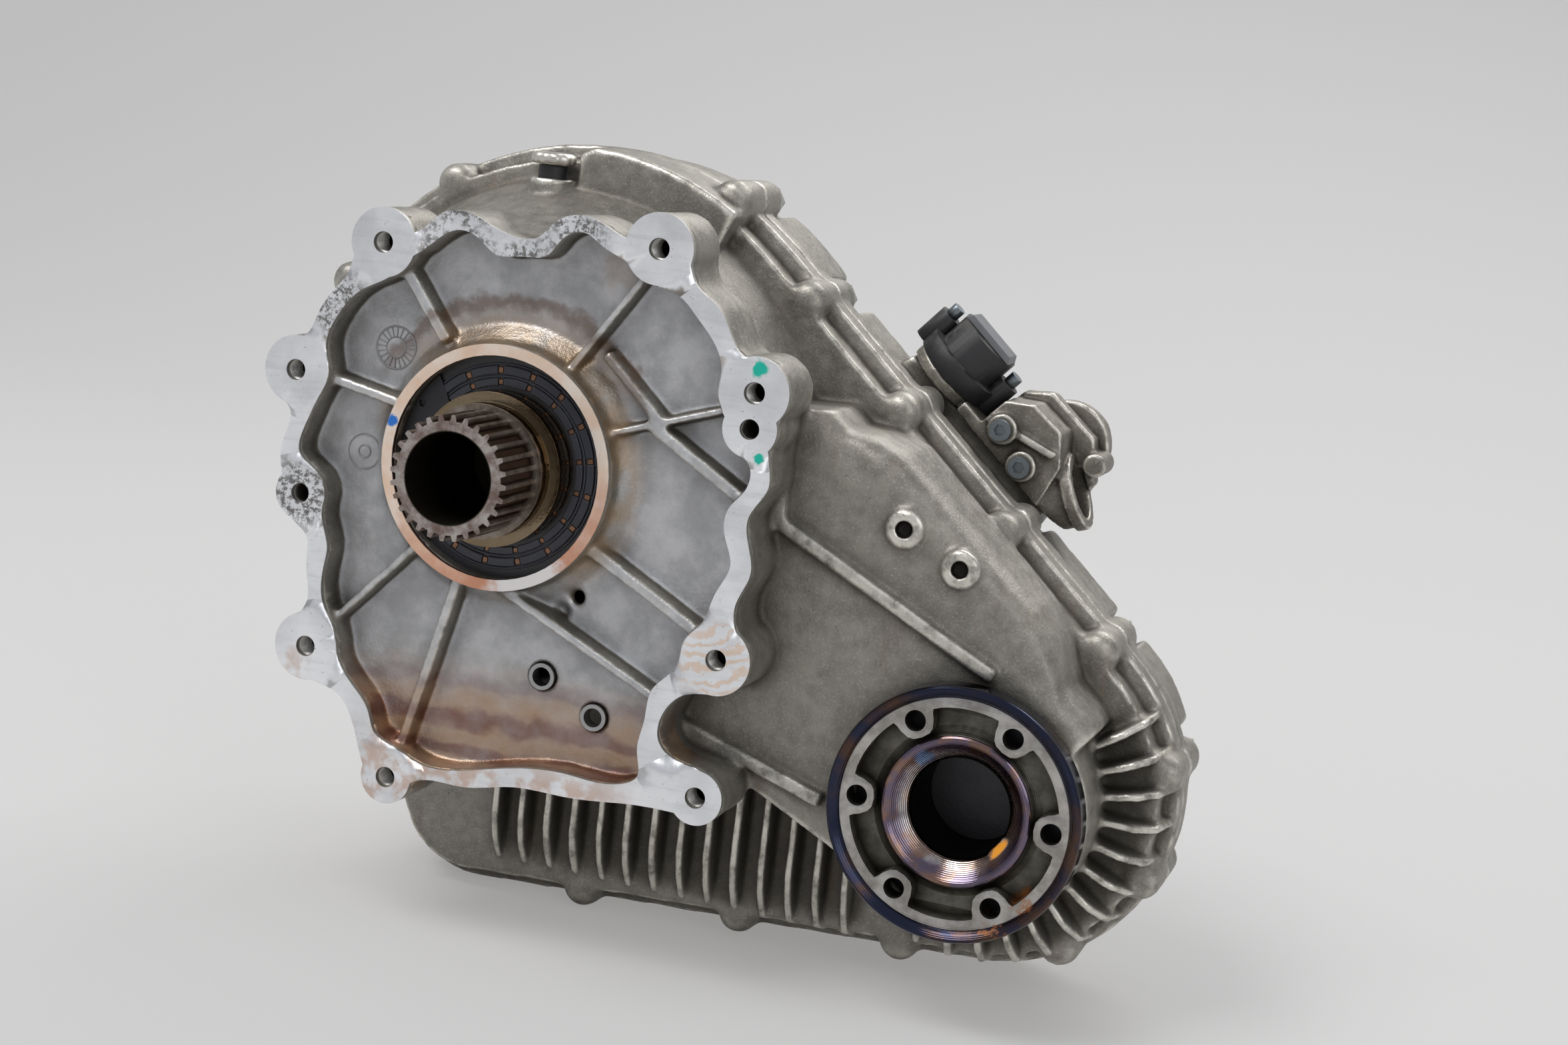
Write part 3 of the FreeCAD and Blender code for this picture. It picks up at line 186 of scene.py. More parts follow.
def cast_skin(node, name, voxel, passes, most, crisp=None, dimples=(), holes=(), extra=None):
    """A casting's node remade with rounded edges, filleted corners and a slightly uneven skin.

    voxel is its grain, passes the rounds of smoothing and most the triangles that it may keep,
    crisp is the depth of a machined face whose first few millimetres stay exact, dimples are small
    holes pressed into a wall, holes keep their mouths sharp, and extra is a solid cast in one with the
    node. The attributes crest and hollow hold the fine and the broad curvature for the materials.
    """
    parts = [nodes[node].data] + ([extra] if extra else [])
    block = link(name, join_meshes(name, parts))
    weld = block.modifiers.new("weld", "WELD")
    weld.merge_threshold = 1e-5
    remesh = block.modifiers.new("remesh", "REMESH")
    remesh.mode = "VOXEL"
    remesh.voxel_size = voxel
    mesh = applied(block, name)
    places = read(mesh.vertices, "co", 3).astype(float)
    links = read(mesh.edges, "vertices", 2)
    for x, z, depth, radius in dimples:
        inside = np.hypot(places[:, 0] - x, places[:, 2] - z) < radius
        front_face = inside & (np.abs(places[:, 1] - depth) < 0.002)
        places[front_face, 1] += DIMPLE_DEEP
    weight = np.full((len(places), 1), 0.5)
    if crisp is not None:
        weight[:, 0] = 0.5 * np.clip((places[:, 1] - crisp - RIM_DEEP) / RIM_DEEP, 0, 1)
    for hole in holes:
        weight[np.hypot(places[:, 0] - hole.x, places[:, 2] - hole.z) < HOLE_KEEP] = 0
    places = relax(places, links, passes, weight)
    rng = np.random.default_rng(SKIN_SEED)
    mesh.vertices.foreach_set("co", places.ravel().astype(np.float32))
    mesh.update()
    normals = read(mesh.vertex_normals, "vector", 3)
    waves = relax(rng.normal(size=(len(places), 1)), links, 40, 0.5)
    waves += 0.35 * relax(rng.normal(size=(len(places), 1)), links, 8, 0.5)
    waves *= SKIN_WAVE / waves.std()
    fine = relax(places, links, 3, 0.5)
    broad = relax(places, links, 60, 0.5)
    crest = relax(((places - fine) * normals).sum(1, keepdims=True), links, 2, 0.5)
    store(mesh, "crest", crest[:, 0] / voxel)
    store(mesh, "hollow", ((broad - places) * normals).sum(1) / voxel)
    places += normals * np.where(weight > 0.1, waves, 0)
    mesh.vertices.foreach_set("co", places.ravel().astype(np.float32))
    if crisp is not None:
        split_at(mesh, crisp + SKIN_START, False)
    skin = link(name, mesh)
    thin = skin.modifiers.new("thin", "DECIMATE")
    mesh.calc_loop_triangles()
    thin.ratio = min(1.0, most / len(mesh.loop_triangles))
    mesh = applied(skin, name)
    mesh.shade_smooth()
    skin = link(name, mesh)
    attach(skin, "case")
    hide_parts(node)
    return skin


# ---------------------------------------------------------------- materials
class Paint:
    """A procedural material, with short names for the nodes that make it."""

    def __init__(self, name, metallic=1.0, roughness=0.5):
        self.material = bpy.data.materials.new(name)
        self.material.use_nodes = True
        self.tree = self.material.node_tree
        self.shader = self.tree.nodes["Principled BSDF"]
        self.shader.inputs["Metallic"].default_value = metallic
        self.shader.inputs["Roughness"].default_value = roughness
        self.place = self.node("ShaderNodeTexCoord").outputs["Object"]
        self.x, self.y, self.z = self.node("ShaderNodeSeparateXYZ", Vector=self.place).outputs
        normal = self.node("ShaderNodeNewGeometry").outputs["Normal"]
        _, self.ny, self.nz = self.node("ShaderNodeSeparateXYZ", Vector=normal).outputs

    def node(self, kind, **inputs):
        """A new node with its inputs fed."""
        made = self.tree.nodes.new(kind)
        for name, value in inputs.items():
            self.feed(made.inputs[name], value)
        return made

    def feed(self, socket, value):
        """Links a socket to another socket, or sets it to a value."""
        if isinstance(value, bpy.types.NodeSocket):
            self.tree.links.new(value, socket)
        elif isinstance(value, (tuple, list)) and socket.type == "RGBA":
            socket.default_value = (*value[:3], 1.0)
        else:
            socket.default_value = value

    def math(self, operation, first, second=0.0, third=0.0):
        """One step of arithmetic."""
        made = self.tree.nodes.new("ShaderNodeMath")
        made.operation = operation
        for socket, value in zip(made.inputs, (first, second, third)):
            self.feed(socket, value)
        return made.outputs[0]

    def product(self, *factors):
        """All factors multiplied, which is where all masks overlap."""
        result = factors[0]
        for factor in factors[1:]:
            result = self.math("MULTIPLY", result, factor)
        return result

    def either(self, *masks):
        """Where any of the masks is."""
        result = masks[0]
        for mask in masks[1:]:
            result = self.math("MAXIMUM", result, mask)
        return result

    def step(self, value, low, high):
        """0 below low, 1 above high, smooth between; low over high turns it round."""
        made = self.tree.nodes.new("ShaderNodeMapRange")
        made.interpolation_type = "SMOOTHSTEP"
        flip = low > high
        self.feed(made.inputs["Value"], value)
        made.inputs["From Min"].default_value = min(low, high)
        made.inputs["From Max"].default_value = max(low, high)
        made.inputs["To Min"].default_value = 1.0 if flip else 0.0
        made.inputs["To Max"].default_value = 0.0 if flip else 1.0
        return made.outputs["Result"]

    def noise(self, size, detail=3.0, rough=0.55, stretch=(1, 1, 1), shift=0.0, warp=0.0):
        """Cloudy noise whose largest features are about size metres."""
        mapping = self.node("ShaderNodeMapping", Vector=self.place)
        mapping.inputs["Scale"].default_value = stretch
        mapping.inputs["Location"].default_value = (shift, shift * 0.7, -shift)
        made = self.node("ShaderNodeTexNoise", Vector=mapping.outputs[0], Scale=1.0 / size, Detail=detail,
                         Roughness=rough, Distortion=warp)
        return made.outputs["Fac"]

    def speckle(self, size, low, high, shift=0.0):
        """Small scattered pits or grains."""
        mapping = self.node("ShaderNodeMapping", Vector=self.place)
        mapping.inputs["Location"].default_value = (shift, -shift, shift * 0.4)
        made = self.node("ShaderNodeTexVoronoi", Vector=mapping.outputs[0], Scale=1.0 / size)
        return self.step(made.outputs["Distance"], high, low)

    def mix(self, factor, first, second):
        """A colour between two, the second where factor is 1."""
        made = self.tree.nodes.new("ShaderNodeMix")
        made.data_type = "RGBA"
        self.feed(made.inputs["Factor"], factor)
        self.feed(made.inputs[6], first)
        self.feed(made.inputs[7], second)
        return made.outputs[2]

    def attribute(self, name):
        """A curvature value kept with the mesh."""
        made = self.tree.nodes.new("ShaderNodeAttribute")
        made.attribute_name = name
        return made.outputs["Fac"]

    def blend(self, factor, first, second):
        """A number between two, the second where factor is 1."""
        made = self.tree.nodes.new("ShaderNodeMix")
        self.feed(made.inputs["Factor"], factor)
        self.feed(made.inputs[2], first)
        self.feed(made.inputs[3], second)
        return made.outputs[0]

    def reach(self, place):
        """Distance from an axis along Y through place."""
        across = self.math("SUBTRACT", self.x, place[0])
        up = self.math("SUBTRACT", self.z, place[2])
        squares = self.math("ADD", self.math("MULTIPLY", across, across), self.math("MULTIPLY", up, up))
        return self.math("SQRT", squares)

    def blot(self, centre, radius, ragged=0.4, size=0.012):
        """A soft ragged stain about a point."""
        apart = self.node("ShaderNodeVectorMath", Vector=self.place)
        apart.operation = "DISTANCE"
        apart.inputs[1].default_value = centre
        worn = self.math("MULTIPLY_ADD", self.noise(size, 4, shift=centre[0] * 7), radius * ragged * 2,
                         radius * (1 - ragged))
        return self.step(self.math("DIVIDE", apart.outputs["Value"], worn), 1.1, 0.6)

    def occlusion_shade(self, reach=0.006, samples=6):
        """Painted shade: 1 in the corners and crevices that ambient occlusion finds, 0 in the open."""
        made = self.tree.nodes.new("ShaderNodeAmbientOcclusion")
        made.samples = samples
        made.inputs["Distance"].default_value = reach
        return self.math("SUBTRACT", 1.0, made.outputs["AO"])

    def bump(self, height, depth):
        """Fine relief, depth metres deep."""
        made = self.tree.nodes.new("ShaderNodeBump")
        made.inputs["Strength"].default_value = 1.0
        made.inputs["Distance"].default_value = depth
        self.feed(made.inputs["Height"], height)
        self.feed(self.shader.inputs["Normal"], made.outputs["Normal"])

    def wear(self, color=None, roughness=None, metallic=None):
        """Puts what was made on the shader and gives the material."""
        for name, value in (("Base Color", color), ("Roughness", roughness), ("Metallic", metallic)):
            if value is not None:
                self.feed(self.shader.inputs[name], value)
        return self.material


def cast_metal(name, tone, dirt_and_shade=1.0):
    """Die-cast aluminium: cloudy tone, bright worn crests with pits, and hollows and corners darkened nearly
    black, which is oily dirt and painted shade.
    """
    paint = Paint(name, metallic=0.7)
    crest = paint.attribute("crest")
    hollow = paint.attribute("hollow")
    cloud = paint.noise(0.045, 5, 0.6)
    mottle = paint.noise(0.007, 4, 0.6, shift=3.0)
    grain = paint.noise(0.0011, 2, 0.6)
    dark = tuple(part * 0.55 for part in tone)
    shade = paint.math("MULTIPLY_ADD", mottle, 0.5, paint.math("MULTIPLY", cloud, 0.6))
    color = paint.mix(paint.step(shade, 0.35, 0.75), dark, tone)
    color = paint.mix(paint.product(paint.step(grain, 0.5, 0.8), 0.3), color, (0.70, 0.68, 0.64))
    worn = paint.product(paint.step(crest, 0.045, 0.12), paint.step(mottle, 0.25, 0.6))
    color = paint.mix(paint.product(worn, 0.8), color, (0.78, 0.75, 0.67))
    # Broad hollows, and corners found by ambient occlusion, go nearly black: oily dirt and painted shade
    # together.
    low = paint.step(paint.math("MULTIPLY_ADD", cloud, 1.3, hollow), 0.6, 2.0)
    corner = paint.step(paint.occlusion_shade(0.020), 0.16, 0.75)
    pits = paint.product(paint.speckle(0.0045, 0.04, 0.13, 3.1),
                         paint.step(paint.noise(0.04, 2, shift=2.0), 0.46, 0.6))
    caked_dirt_and_shade = paint.product(paint.either(low, corner), 0.72 * dirt_and_shade)
    soil_and_shade = paint.either(caked_dirt_and_shade, paint.product(pits, 0.6 * dirt_and_shade))
    color = paint.mix(soil_and_shade, color, (0.036, 0.029, 0.020))
    bare = paint.math("MULTIPLY_ADD", mottle, 0.2, 0.4)
    rough = paint.blend(soil_and_shade, paint.blend(worn, bare, 0.3), 0.62)
    paint.bump(paint.math("ADD", grain, paint.product(mottle, 2.0)), 0.00016)
    return paint, color, rough


def paint_casting(name, tone, dirt_and_shade=1.0):
    """The skin of a casting that has no marks of its own."""
    paint, color, rough = cast_metal(name, tone, dirt_and_shade)
    return paint.wear(color, rough)


def paint_front_case():
    """The front casting: cool grey in the recess, warmer outside, with old oil and rust-brown water marks."""
    paint, color, rough = cast_metal("cast_front", (0.345, 0.325, 0.285))
    reach = paint.reach((0, 0, 0))
    web = paint.product(paint.step(paint.y, 0.0225, 0.0195), paint.step(reach, 0.160, 0.148))
    cool = paint.mix(paint.step(paint.noise(0.022, 5, 0.65, shift=5.0), 0.35, 0.65), (0.42, 0.43, 0.45),
                     (0.66, 0.67, 0.70))
    # A pale cool tone on the web's flat faces, kept out of its corners, which stay darker as painted shade.
    flat = paint.product(web, paint.step(paint.math("ABSOLUTE", paint.ny), 0.6, 0.9))
    color = paint.mix(paint.product(flat, 0.7, paint.step(paint.occlusion_shade(0.012), 0.75, 0.35)), color, cool)
    # Oil below a wandering tide line, and brown water marks round the boss ring.
    drift = paint.math("MULTIPLY", paint.noise(0.03, 4, stretch=(0.6, 1, 1)), 0.03)
    tide = paint.math("ADD", paint.z, drift)
    oil = paint.product(web, paint.step(tide, -0.072, -0.100))
    mark = paint.noise(0.016, 4, 0.6, shift=8.0)
    ragged = paint.math("MULTIPLY_ADD", mark, 0.018, reach)
    halo = paint.product(web, paint.step(ragged, 0.084, 0.070), paint.step(paint.z, 0.030, 0.046))
    edge = paint.product(web, paint.step(ragged, 0.086, 0.082), paint.step(ragged, 0.076, 0.081),
                         paint.step(paint.z, 0.028, 0.042))
    right = paint.product(web, paint.step(ragged, 0.078, 0.066), paint.step(paint.x, 0.030, 0.042))
    left = paint.product(web, paint.blot((-0.056, 0.012, 0.014), 0.013, 0.6, 0.01), 0.6)
    spot = paint.product(web, paint.blot((0.045, 0.016, 0.094), 0.012, 0.8, 0.006), 0.5)
    rusty = paint.product(paint.either(halo, right, left, spot), 0.5, paint.step(mark, 0.2, 0.55))
    color = paint.mix(rusty, color, (0.40, 0.25, 0.12))
    color = paint.mix(paint.product(edge, 0.6), color, (0.13, 0.065, 0.03))
    bands = paint.step(paint.math("SINE", paint.product(tide, 420.0)), -0.6, 0.9)
    stain = paint.mix(bands, (0.42, 0.26, 0.15), (0.20, 0.075, 0.04))
    color = paint.mix(paint.product(oil, paint.math("MULTIPLY_ADD", mark, 0.8, 0.32)), color, stain)
    rough = paint.blend(paint.either(oil, halo), rough, 0.34)
    # Painted shade: near black on the floors of the bracket holes, so that they look deep; and dry runs down
    # the outer walls.
    for place in brackets:
        inside = paint.step(paint.reach(place), 0.0042, 0.0037)
        hole = paint.product(inside, paint.step(paint.y, 0.0302, 0.0312))
        color = paint.mix(hole, color, (0.015, 0.013, 0.011))
    streak = paint.noise(0.01, 4, stretch=(1, 1, 0.22), shift=6.0)
    runs = paint.product(paint.step(paint.y, 0.022, 0.03), paint.step(streak, 0.55, 0.75))
    color = paint.mix(paint.product(runs, 0.3), color, (0.17, 0.12, 0.075))
    return paint.wear(color, rough)


def paint_rim():
    """The machined mating face: scratched silver, coppery on the boss ring, pitted along the top."""
    paint = Paint("machined_rim", metallic=0.9)
    face = paint.step(paint.y, 0.0006, 0.0003)
    reach = paint.reach((0, 0, 0))
    ring = paint.step(reach, 0.0565, 0.055)
    lines = paint.noise(0.0035, 2, 0.5, stretch=(0.12, 1, 1.0), shift=1.0)
    scratch = paint.noise(0.0012, 2, 0.5, stretch=(1.0, 1, 0.08), shift=4.0)
    cloud = paint.noise(0.03, 4, shift=12.0)
    bright = paint.mix(paint.step(cloud, 0.3, 0.7), (0.74, 0.75, 0.77), (0.93, 0.94, 0.96))
    bright = paint.mix(paint.product(paint.step(lines, 0.45, 0.8), 0.4), bright, (0.55, 0.56, 0.58))
    # Copper tints along the bottom, pits at the top and left, a machining swirl, then the boss ring.
    bottom = paint.product(paint.step(paint.z, -0.120, -0.138), paint.step(paint.x, 0.09, 0.06))
    low_edge = paint.either(bottom, paint.product(paint.blot((-0.094, 0, -0.106), 0.014, 0.6), 0.7))
    tinted = paint.product(low_edge, paint.step(paint.noise(0.009, 4, shift=6.0), 0.42, 0.62))
    bright = paint.mix(paint.product(tinted, 0.6), bright, (0.55, 0.32, 0.20))
    ragged = paint.noise(0.0035, 5, 0.75, shift=5.0)
    top = paint.product(paint.step(paint.z, 0.070, 0.084), paint.step(paint.x, 0.048, 0.034),
                        paint.step(paint.x, -0.052, -0.038))
    left = paint.either(paint.blot((-0.0927, 0, -0.0258), 0.017, 0.4),
                        paint.blot((-0.083, 0, 0.062), 0.016, 0.6))
    patch = paint.step(paint.noise(0.016, 3, shift=4.0), 0.36, 0.52)
    pits = paint.product(paint.step(ragged, 0.46, 0.56), paint.either(paint.product(top, patch), left))
    specks = paint.product(paint.step(paint.noise(0.0016, 3, 0.7, shift=9.0), 0.66, 0.72), 0.7)
    pits = paint.either(pits, specks)
    bright = paint.mix(paint.product(pits, 0.85), bright, (0.11, 0.10, 0.09))
    off_centre = paint.reach((0.100, 0, -0.030))
    wander = paint.math("MULTIPLY_ADD", paint.noise(0.014, 4, shift=1.0), 26.0,
                        paint.product(off_centre, 1100.0))
    swirl = paint.product(paint.blot((0.112, 0, -0.0659), 0.019, 0.4, 0.008),
                          paint.step(paint.math("SINE", wander), -0.2, 0.9))
    bright = paint.mix(paint.product(swirl, 0.5), bright, (0.76, 0.47, 0.25))
    peach = paint.mix(paint.step(paint.noise(0.025, 4, shift=7.0), 0.35, 0.65), (0.90, 0.66, 0.50),
                      (0.97, 0.86, 0.76))
    height = paint.math("MULTIPLY_ADD", paint.noise(0.012, 4, shift=2.0), 0.05, paint.z)
    red = paint.step(paint.math("SUBTRACT", height, paint.product(paint.x, 0.35)), 0.022, -0.03)
    peach = paint.mix(paint.product(red, 0.9), peach, (0.60, 0.26, 0.15))
    silver = paint.blot((0.022, 0, -0.048), 0.020, 0.6, 0.006)
    peach = paint.mix(silver, peach, (0.86, 0.83, 0.82))
    peach = paint.mix(paint.blot((-0.0505, 0, 0.0135), 0.0030, 0.6, 0.002), peach, (0.05, 0.22, 0.70))
    bright = paint.mix(ring, bright, peach)
    teal = paint.either(paint.blot((0.1165, 0, 0.0605), 0.0042, 0.75, 0.003),
                        paint.blot((0.1205, 0, 0.023), 0.0026, 0.8, 0.0015))
    bright = paint.mix(teal, bright, (0.0, 0.40, 0.30))
    side = paint.mix(paint.noise(0.006, 4), (0.27, 0.25, 0.22), (0.50, 0.48, 0.44))
    maroon = paint.product(paint.step(reach, 0.0505, 0.0495), paint.step(paint.y, 0.0004, 0.0010))
    side = paint.mix(maroon, side, (0.10, 0.045, 0.04))
    color = paint.mix(face, side, bright)
    matt = paint.either(pits, paint.math("SUBTRACT", 1.0, face))
    paint.bump(paint.math("ADD", lines, scratch), 0.00006)
    return paint.wear(color, paint.blend(matt, paint.math("MULTIPLY_ADD", cloud, 0.2, 0.25), 0.6),
                      paint.blend(paint.product(face, teal), 0.9, 0.0))


def paint_shaft():
    """The splined shaft: mottled brown-grey end, brown oil between the teeth, a brassy polished seal land."""
    paint = Paint("machined_shaft", roughness=0.35)
    reach = paint.reach((0, 0, 0))
    cloud = paint.noise(0.009, 5, 0.65)
    base = paint.mix(paint.step(cloud, 0.3, 0.7), (0.17, 0.135, 0.11), (0.38, 0.335, 0.29))
    end = paint.step(paint.y, -0.0448, -0.0452)
    faced = paint.mix(paint.step(cloud, 0.35, 0.68), (0.20, 0.14, 0.12), (0.50, 0.46, 0.43))
    color = paint.mix(paint.product(end, 0.9), base, faced)
    gaps = paint.product(paint.step(reach, 0.0262, 0.0248), paint.step(paint.y, -0.0449, -0.0440),
                         paint.step(paint.y, -0.011, -0.0145))
    color = paint.mix(paint.product(gaps, 0.93), color, (0.065, 0.035, 0.02))
    brassy = paint.product(paint.step(paint.y, -0.0165, -0.012), paint.step(reach, 0.0275, 0.029))
    tone = paint.mix(paint.step(paint.y, -0.008, -0.004), (0.13, 0.09, 0.05), (0.25, 0.19, 0.115))
    color = paint.mix(paint.product(brassy, 0.85), color, tone)
    inner = paint.step(reach, 0.0205, 0.0199)
    color = paint.mix(inner, color, (0.035, 0.03, 0.022))
    paint.bump(paint.noise(0.0015, 3, stretch=(1, 0.2, 1)), 0.00008)
    rough = paint.blend(brassy, paint.math("MULTIPLY_ADD", cloud, 0.3, 0.28), 0.11)
    return paint.wear(color, paint.blend(gaps, rough, 0.5))


def paint_flange(name, centre, face, way):
    """A companion flange: dark polished rim, turned ledge, oily cast dish and a heat-tinted cone, with painted
    shade in the dish, its corners and the bore, and a painted reflection on the lip.
    """
    paint = Paint(name, roughness=0.4)
    reach = paint.reach(centre)
    step_in = paint.product(paint.math("SUBTRACT", paint.y, face), way)
    cloud = paint.noise(0.012, 5, 0.65)
    # The dish is dark oily cast metal, darkened further as painted shade for its depth.
    dish = paint.mix(paint.step(cloud, 0.3, 0.7), (0.085, 0.080, 0.066), (0.22, 0.208, 0.175))
    turned = paint.mix(paint.step(cloud, 0.3, 0.7), (0.27, 0.255, 0.235), (0.50, 0.485, 0.46))
    ledge = paint.product(paint.step(step_in, 0.0038, 0.0034), paint.step(reach, 0.0335, 0.0345))
    color = paint.mix(ledge, dish, turned)
    # Painted shade: corners found by ambient occlusion go nearly black.
    corner = paint.step(paint.occlusion_shade(0.014), 0.2, 0.8)
    color = paint.mix(paint.product(corner, 0.85), color, (0.028, 0.024, 0.018))
    rim = paint.step(reach, 0.0502, 0.0508)
    dark = paint.mix(paint.step(paint.noise(0.02, 4, shift=5.0), 0.45, 0.65), (0.030, 0.034, 0.060),
                     (0.085, 0.050, 0.038))
    color = paint.mix(rim, color, dark)
    cone = paint.product(paint.step(reach, 0.0338, 0.0330), paint.step(step_in, 0.0165, 0.0150))
    drift = paint.math("MULTIPLY_ADD", paint.noise(0.010, 4, shift=4.0), 0.009, reach)
    temper = paint.mix(paint.step(drift, 0.028, 0.033), (0.60, 0.57, 0.56), (0.155, 0.125, 0.175))
    browned = paint.step(paint.noise(0.012, 4, shift=3.0), 0.46, 0.62)
    temper = paint.mix(paint.product(browned, 0.8), temper, (0.27, 0.16, 0.11))
    color = paint.mix(cone, color, temper)
    # Painted shade: the deep bore is near black.
    bore = paint.product(paint.step(reach, 0.0226, 0.0222), paint.step(step_in, 0.012, 0.014))
    color = paint.mix(bore, color, (0.010, 0.009, 0.008))
    # Rust at the foot of the rim, a dab of orange paint, and a painted reflection: a sky-blue spot on the lip.
    rust = paint.product(paint.step(paint.noise(0.010, 5, 0.65, shift=9.0), 0.50, 0.66),
                         paint.blot((centre[0] + 0.026, face, centre[2] - 0.040), 0.024, 0.5),
                         paint.step(reach, 0.042, 0.046))
    color = paint.mix(paint.product(rust, 0.85), color, (0.40, 0.15, 0.035))
    lip = face + 0.010 * way
    dab = paint.product(paint.blot((centre[0] + 0.0195, lip, centre[2] - 0.0135), 0.0065, 0.4, 0.003),
                        paint.step(reach, 0.0262, 0.0252))
    color = paint.mix(dab, color, (0.85, 0.33, 0.02))
    sky_reflection = paint.product(paint.blot((centre[0] - 0.0165, lip, centre[2] + 0.0195), 0.005, 0.6, 0.003), 0.7)
    color = paint.mix(sky_reflection, color, (0.25, 0.45, 0.85))
    rings = paint.math("SINE", paint.product(reach, 9000.0))
    paint.bump(paint.math("ADD", paint.product(rings, 0.6), paint.noise(0.002, 3)), 0.00003)
    rough = paint.blend(ledge, paint.math("MULTIPLY_ADD", cloud, 0.2, 0.42), 0.26)
    rough = paint.blend(paint.either(cone, rim), rough, 0.15)
    return paint.wear(color, paint.blend(paint.either(rust, dab), rough, 0.75), paint.blend(dab, 1.0, 0.0))


def paint_steel(name, tone, roughness=0.35, metallic=1.0):
    """Plain worked steel or plated metal with fine scratches, its corners darkened as dirt and painted shade.
    """
    paint = Paint(name, metallic=metallic)
    cloud = paint.noise(0.008, 4)
    dark = tuple(part * 0.6 for part in tone)
    color = paint.mix(cloud, dark, tone)
    # Corners found by ambient occlusion go dark: dirt and painted shade.
    corner = paint.step(paint.occlusion_shade(0.003), 0.3, 0.9)
    color = paint.mix(paint.math("MULTIPLY", corner, 0.7), color, (0.05, 0.04, 0.03))
    paint.bump(paint.noise(0.0012, 3), 0.00006)
    return paint.wear(color, paint.math("MULTIPLY_ADD", cloud, 0.3, roughness - 0.1))


def paint_plastic(name, tone, roughness=0.45):
    """Moulded plastic with a fine grain and dust on its upward faces."""
    paint = Paint(name, metallic=0.0)
    dust = paint.product(paint.step(paint.nz, 0.2, 0.9), paint.step(paint.noise(0.008, 4), 0.4, 0.7))
    color = paint.mix(paint.noise(0.004, 3), tone, tuple(part * 1.3 + 0.004 for part in tone))
    color = paint.mix(paint.math("MULTIPLY", dust, 0.35), color, (0.25, 0.23, 0.21))
    paint.bump(paint.noise(0.0005, 2), 0.00008)
    return paint.wear(color, paint.math("MULTIPLY_ADD", dust, 0.3, roughness))


# ---------------------------------------------------------------- small turned and moulded details
def bevel_edges(thing, width, angle):
    """A bevel of a width in millimetres on the edges sharper than an angle."""
    edge = thing.modifiers.new("edge", "BEVEL")
    edge.width = width * MM
    edge.segments = 2
    edge.limit_method = "ANGLE"
    edge.angle_limit = math.radians(angle)
    return edge


def weld(mesh, reach=1e-6):
    """Joins corners within reach and turns the faces outward."""
    shape = bmesh.new()
    shape.from_mesh(mesh)
    if reach:
        bmesh.ops.remove_doubles(shape, verts=shape.verts, dist=reach)
    bmesh.ops.recalc_face_normals(shape, faces=shape.faces)
    shape.to_mesh(mesh)
    shape.free()


class Solids:
    """Closed solids gathered into one mesh."""

    def __init__(self):
        self.corners = []
        self.faces = []

    def loft(self, loops, ring=False):
        """Joins closed loops of corners in turn; a ring joins the last to the first, else both ends close."""
        start = len(self.corners)
        size = len(loops[0])
        for loop in loops:
            self.corners.extend(loop)
        for step in range(len(loops) if ring else len(loops) - 1):
            here = start + step * size
            there = start + (step + 1) % len(loops) * size
            for corner in range(size):
                after = (corner + 1) % size
                self.faces.append((here + corner, here + after, there + after, there + corner))
        if not ring:
            self.faces.append(tuple(start + corner for corner in range(size))[::-1])
            self.faces.append(tuple(start + (len(loops) - 1) * size + corner for corner in range(size)))

    def arc(self, centre, profile, start=0.0, end=360.0, steps=48):
        """Sweeps a profile of (radius, depth) pairs in millimetres round an axis along Y."""
        ring = end - start >= 360.0
        loops = []
        for step in range(steps if ring else steps + 1):
            turn = math.radians(start + (end - start) * step / steps)
            loops.append([(centre[0] + radius * MM * math.cos(turn), depth * MM,
                           centre[2] + radius * MM * math.sin(turn)) for radius, depth in profile])
        self.loft(loops, ring)

    def thread(self, centre, mouth, bore, pitch, turns, crest):
        """A helical thread of triangular section standing in from the wall of a bore."""
        loops = []
        for step in range(turns * 20 + 1):
            turn = step / 20 * 2 * math.pi
            depth = mouth + pitch * step / 20
            root = bore + 0.15
            section = ((root, depth), (bore - crest, depth + pitch * 0.4), (root, depth + pitch * 0.8))
            loops.append([(centre[0] + radius * MM * math.cos(turn), along * MM,
                           centre[2] + radius * MM * math.sin(turn)) for radius, along in section])
        self.loft(loops)

    def raw(self, name):
        """The solids as an object, their faces turned outward."""
        mesh = bpy.data.meshes.new(name)
        mesh.from_pydata(self.corners, [], self.faces)
        weld(mesh, 0)
        return link(name, mesh)

    def build(self, name, body, material, bevel=0.0, smooth=30):
        """The solids as a finished piece of a body, smooth up to an angle in degrees."""
        piece = self.raw(name)
        mesh = piece.data
        mesh.materials.append(material)
        if bevel:
            bevel_edges(piece, bevel, 40)
        mesh.shade_smooth()
        mesh.set_sharp_from_angle(angle=math.radians(smooth))
        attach(piece, body)
        return piece


def chamfered(inner, outer, front, back, edge=0.25):
    """A rectangular section of (radius, depth) with its two front corners cut off."""
    return [(inner, back), (inner, front + edge), (inner + edge, front), (outer - edge, front),
            (outer, front + edge), (outer, back)]


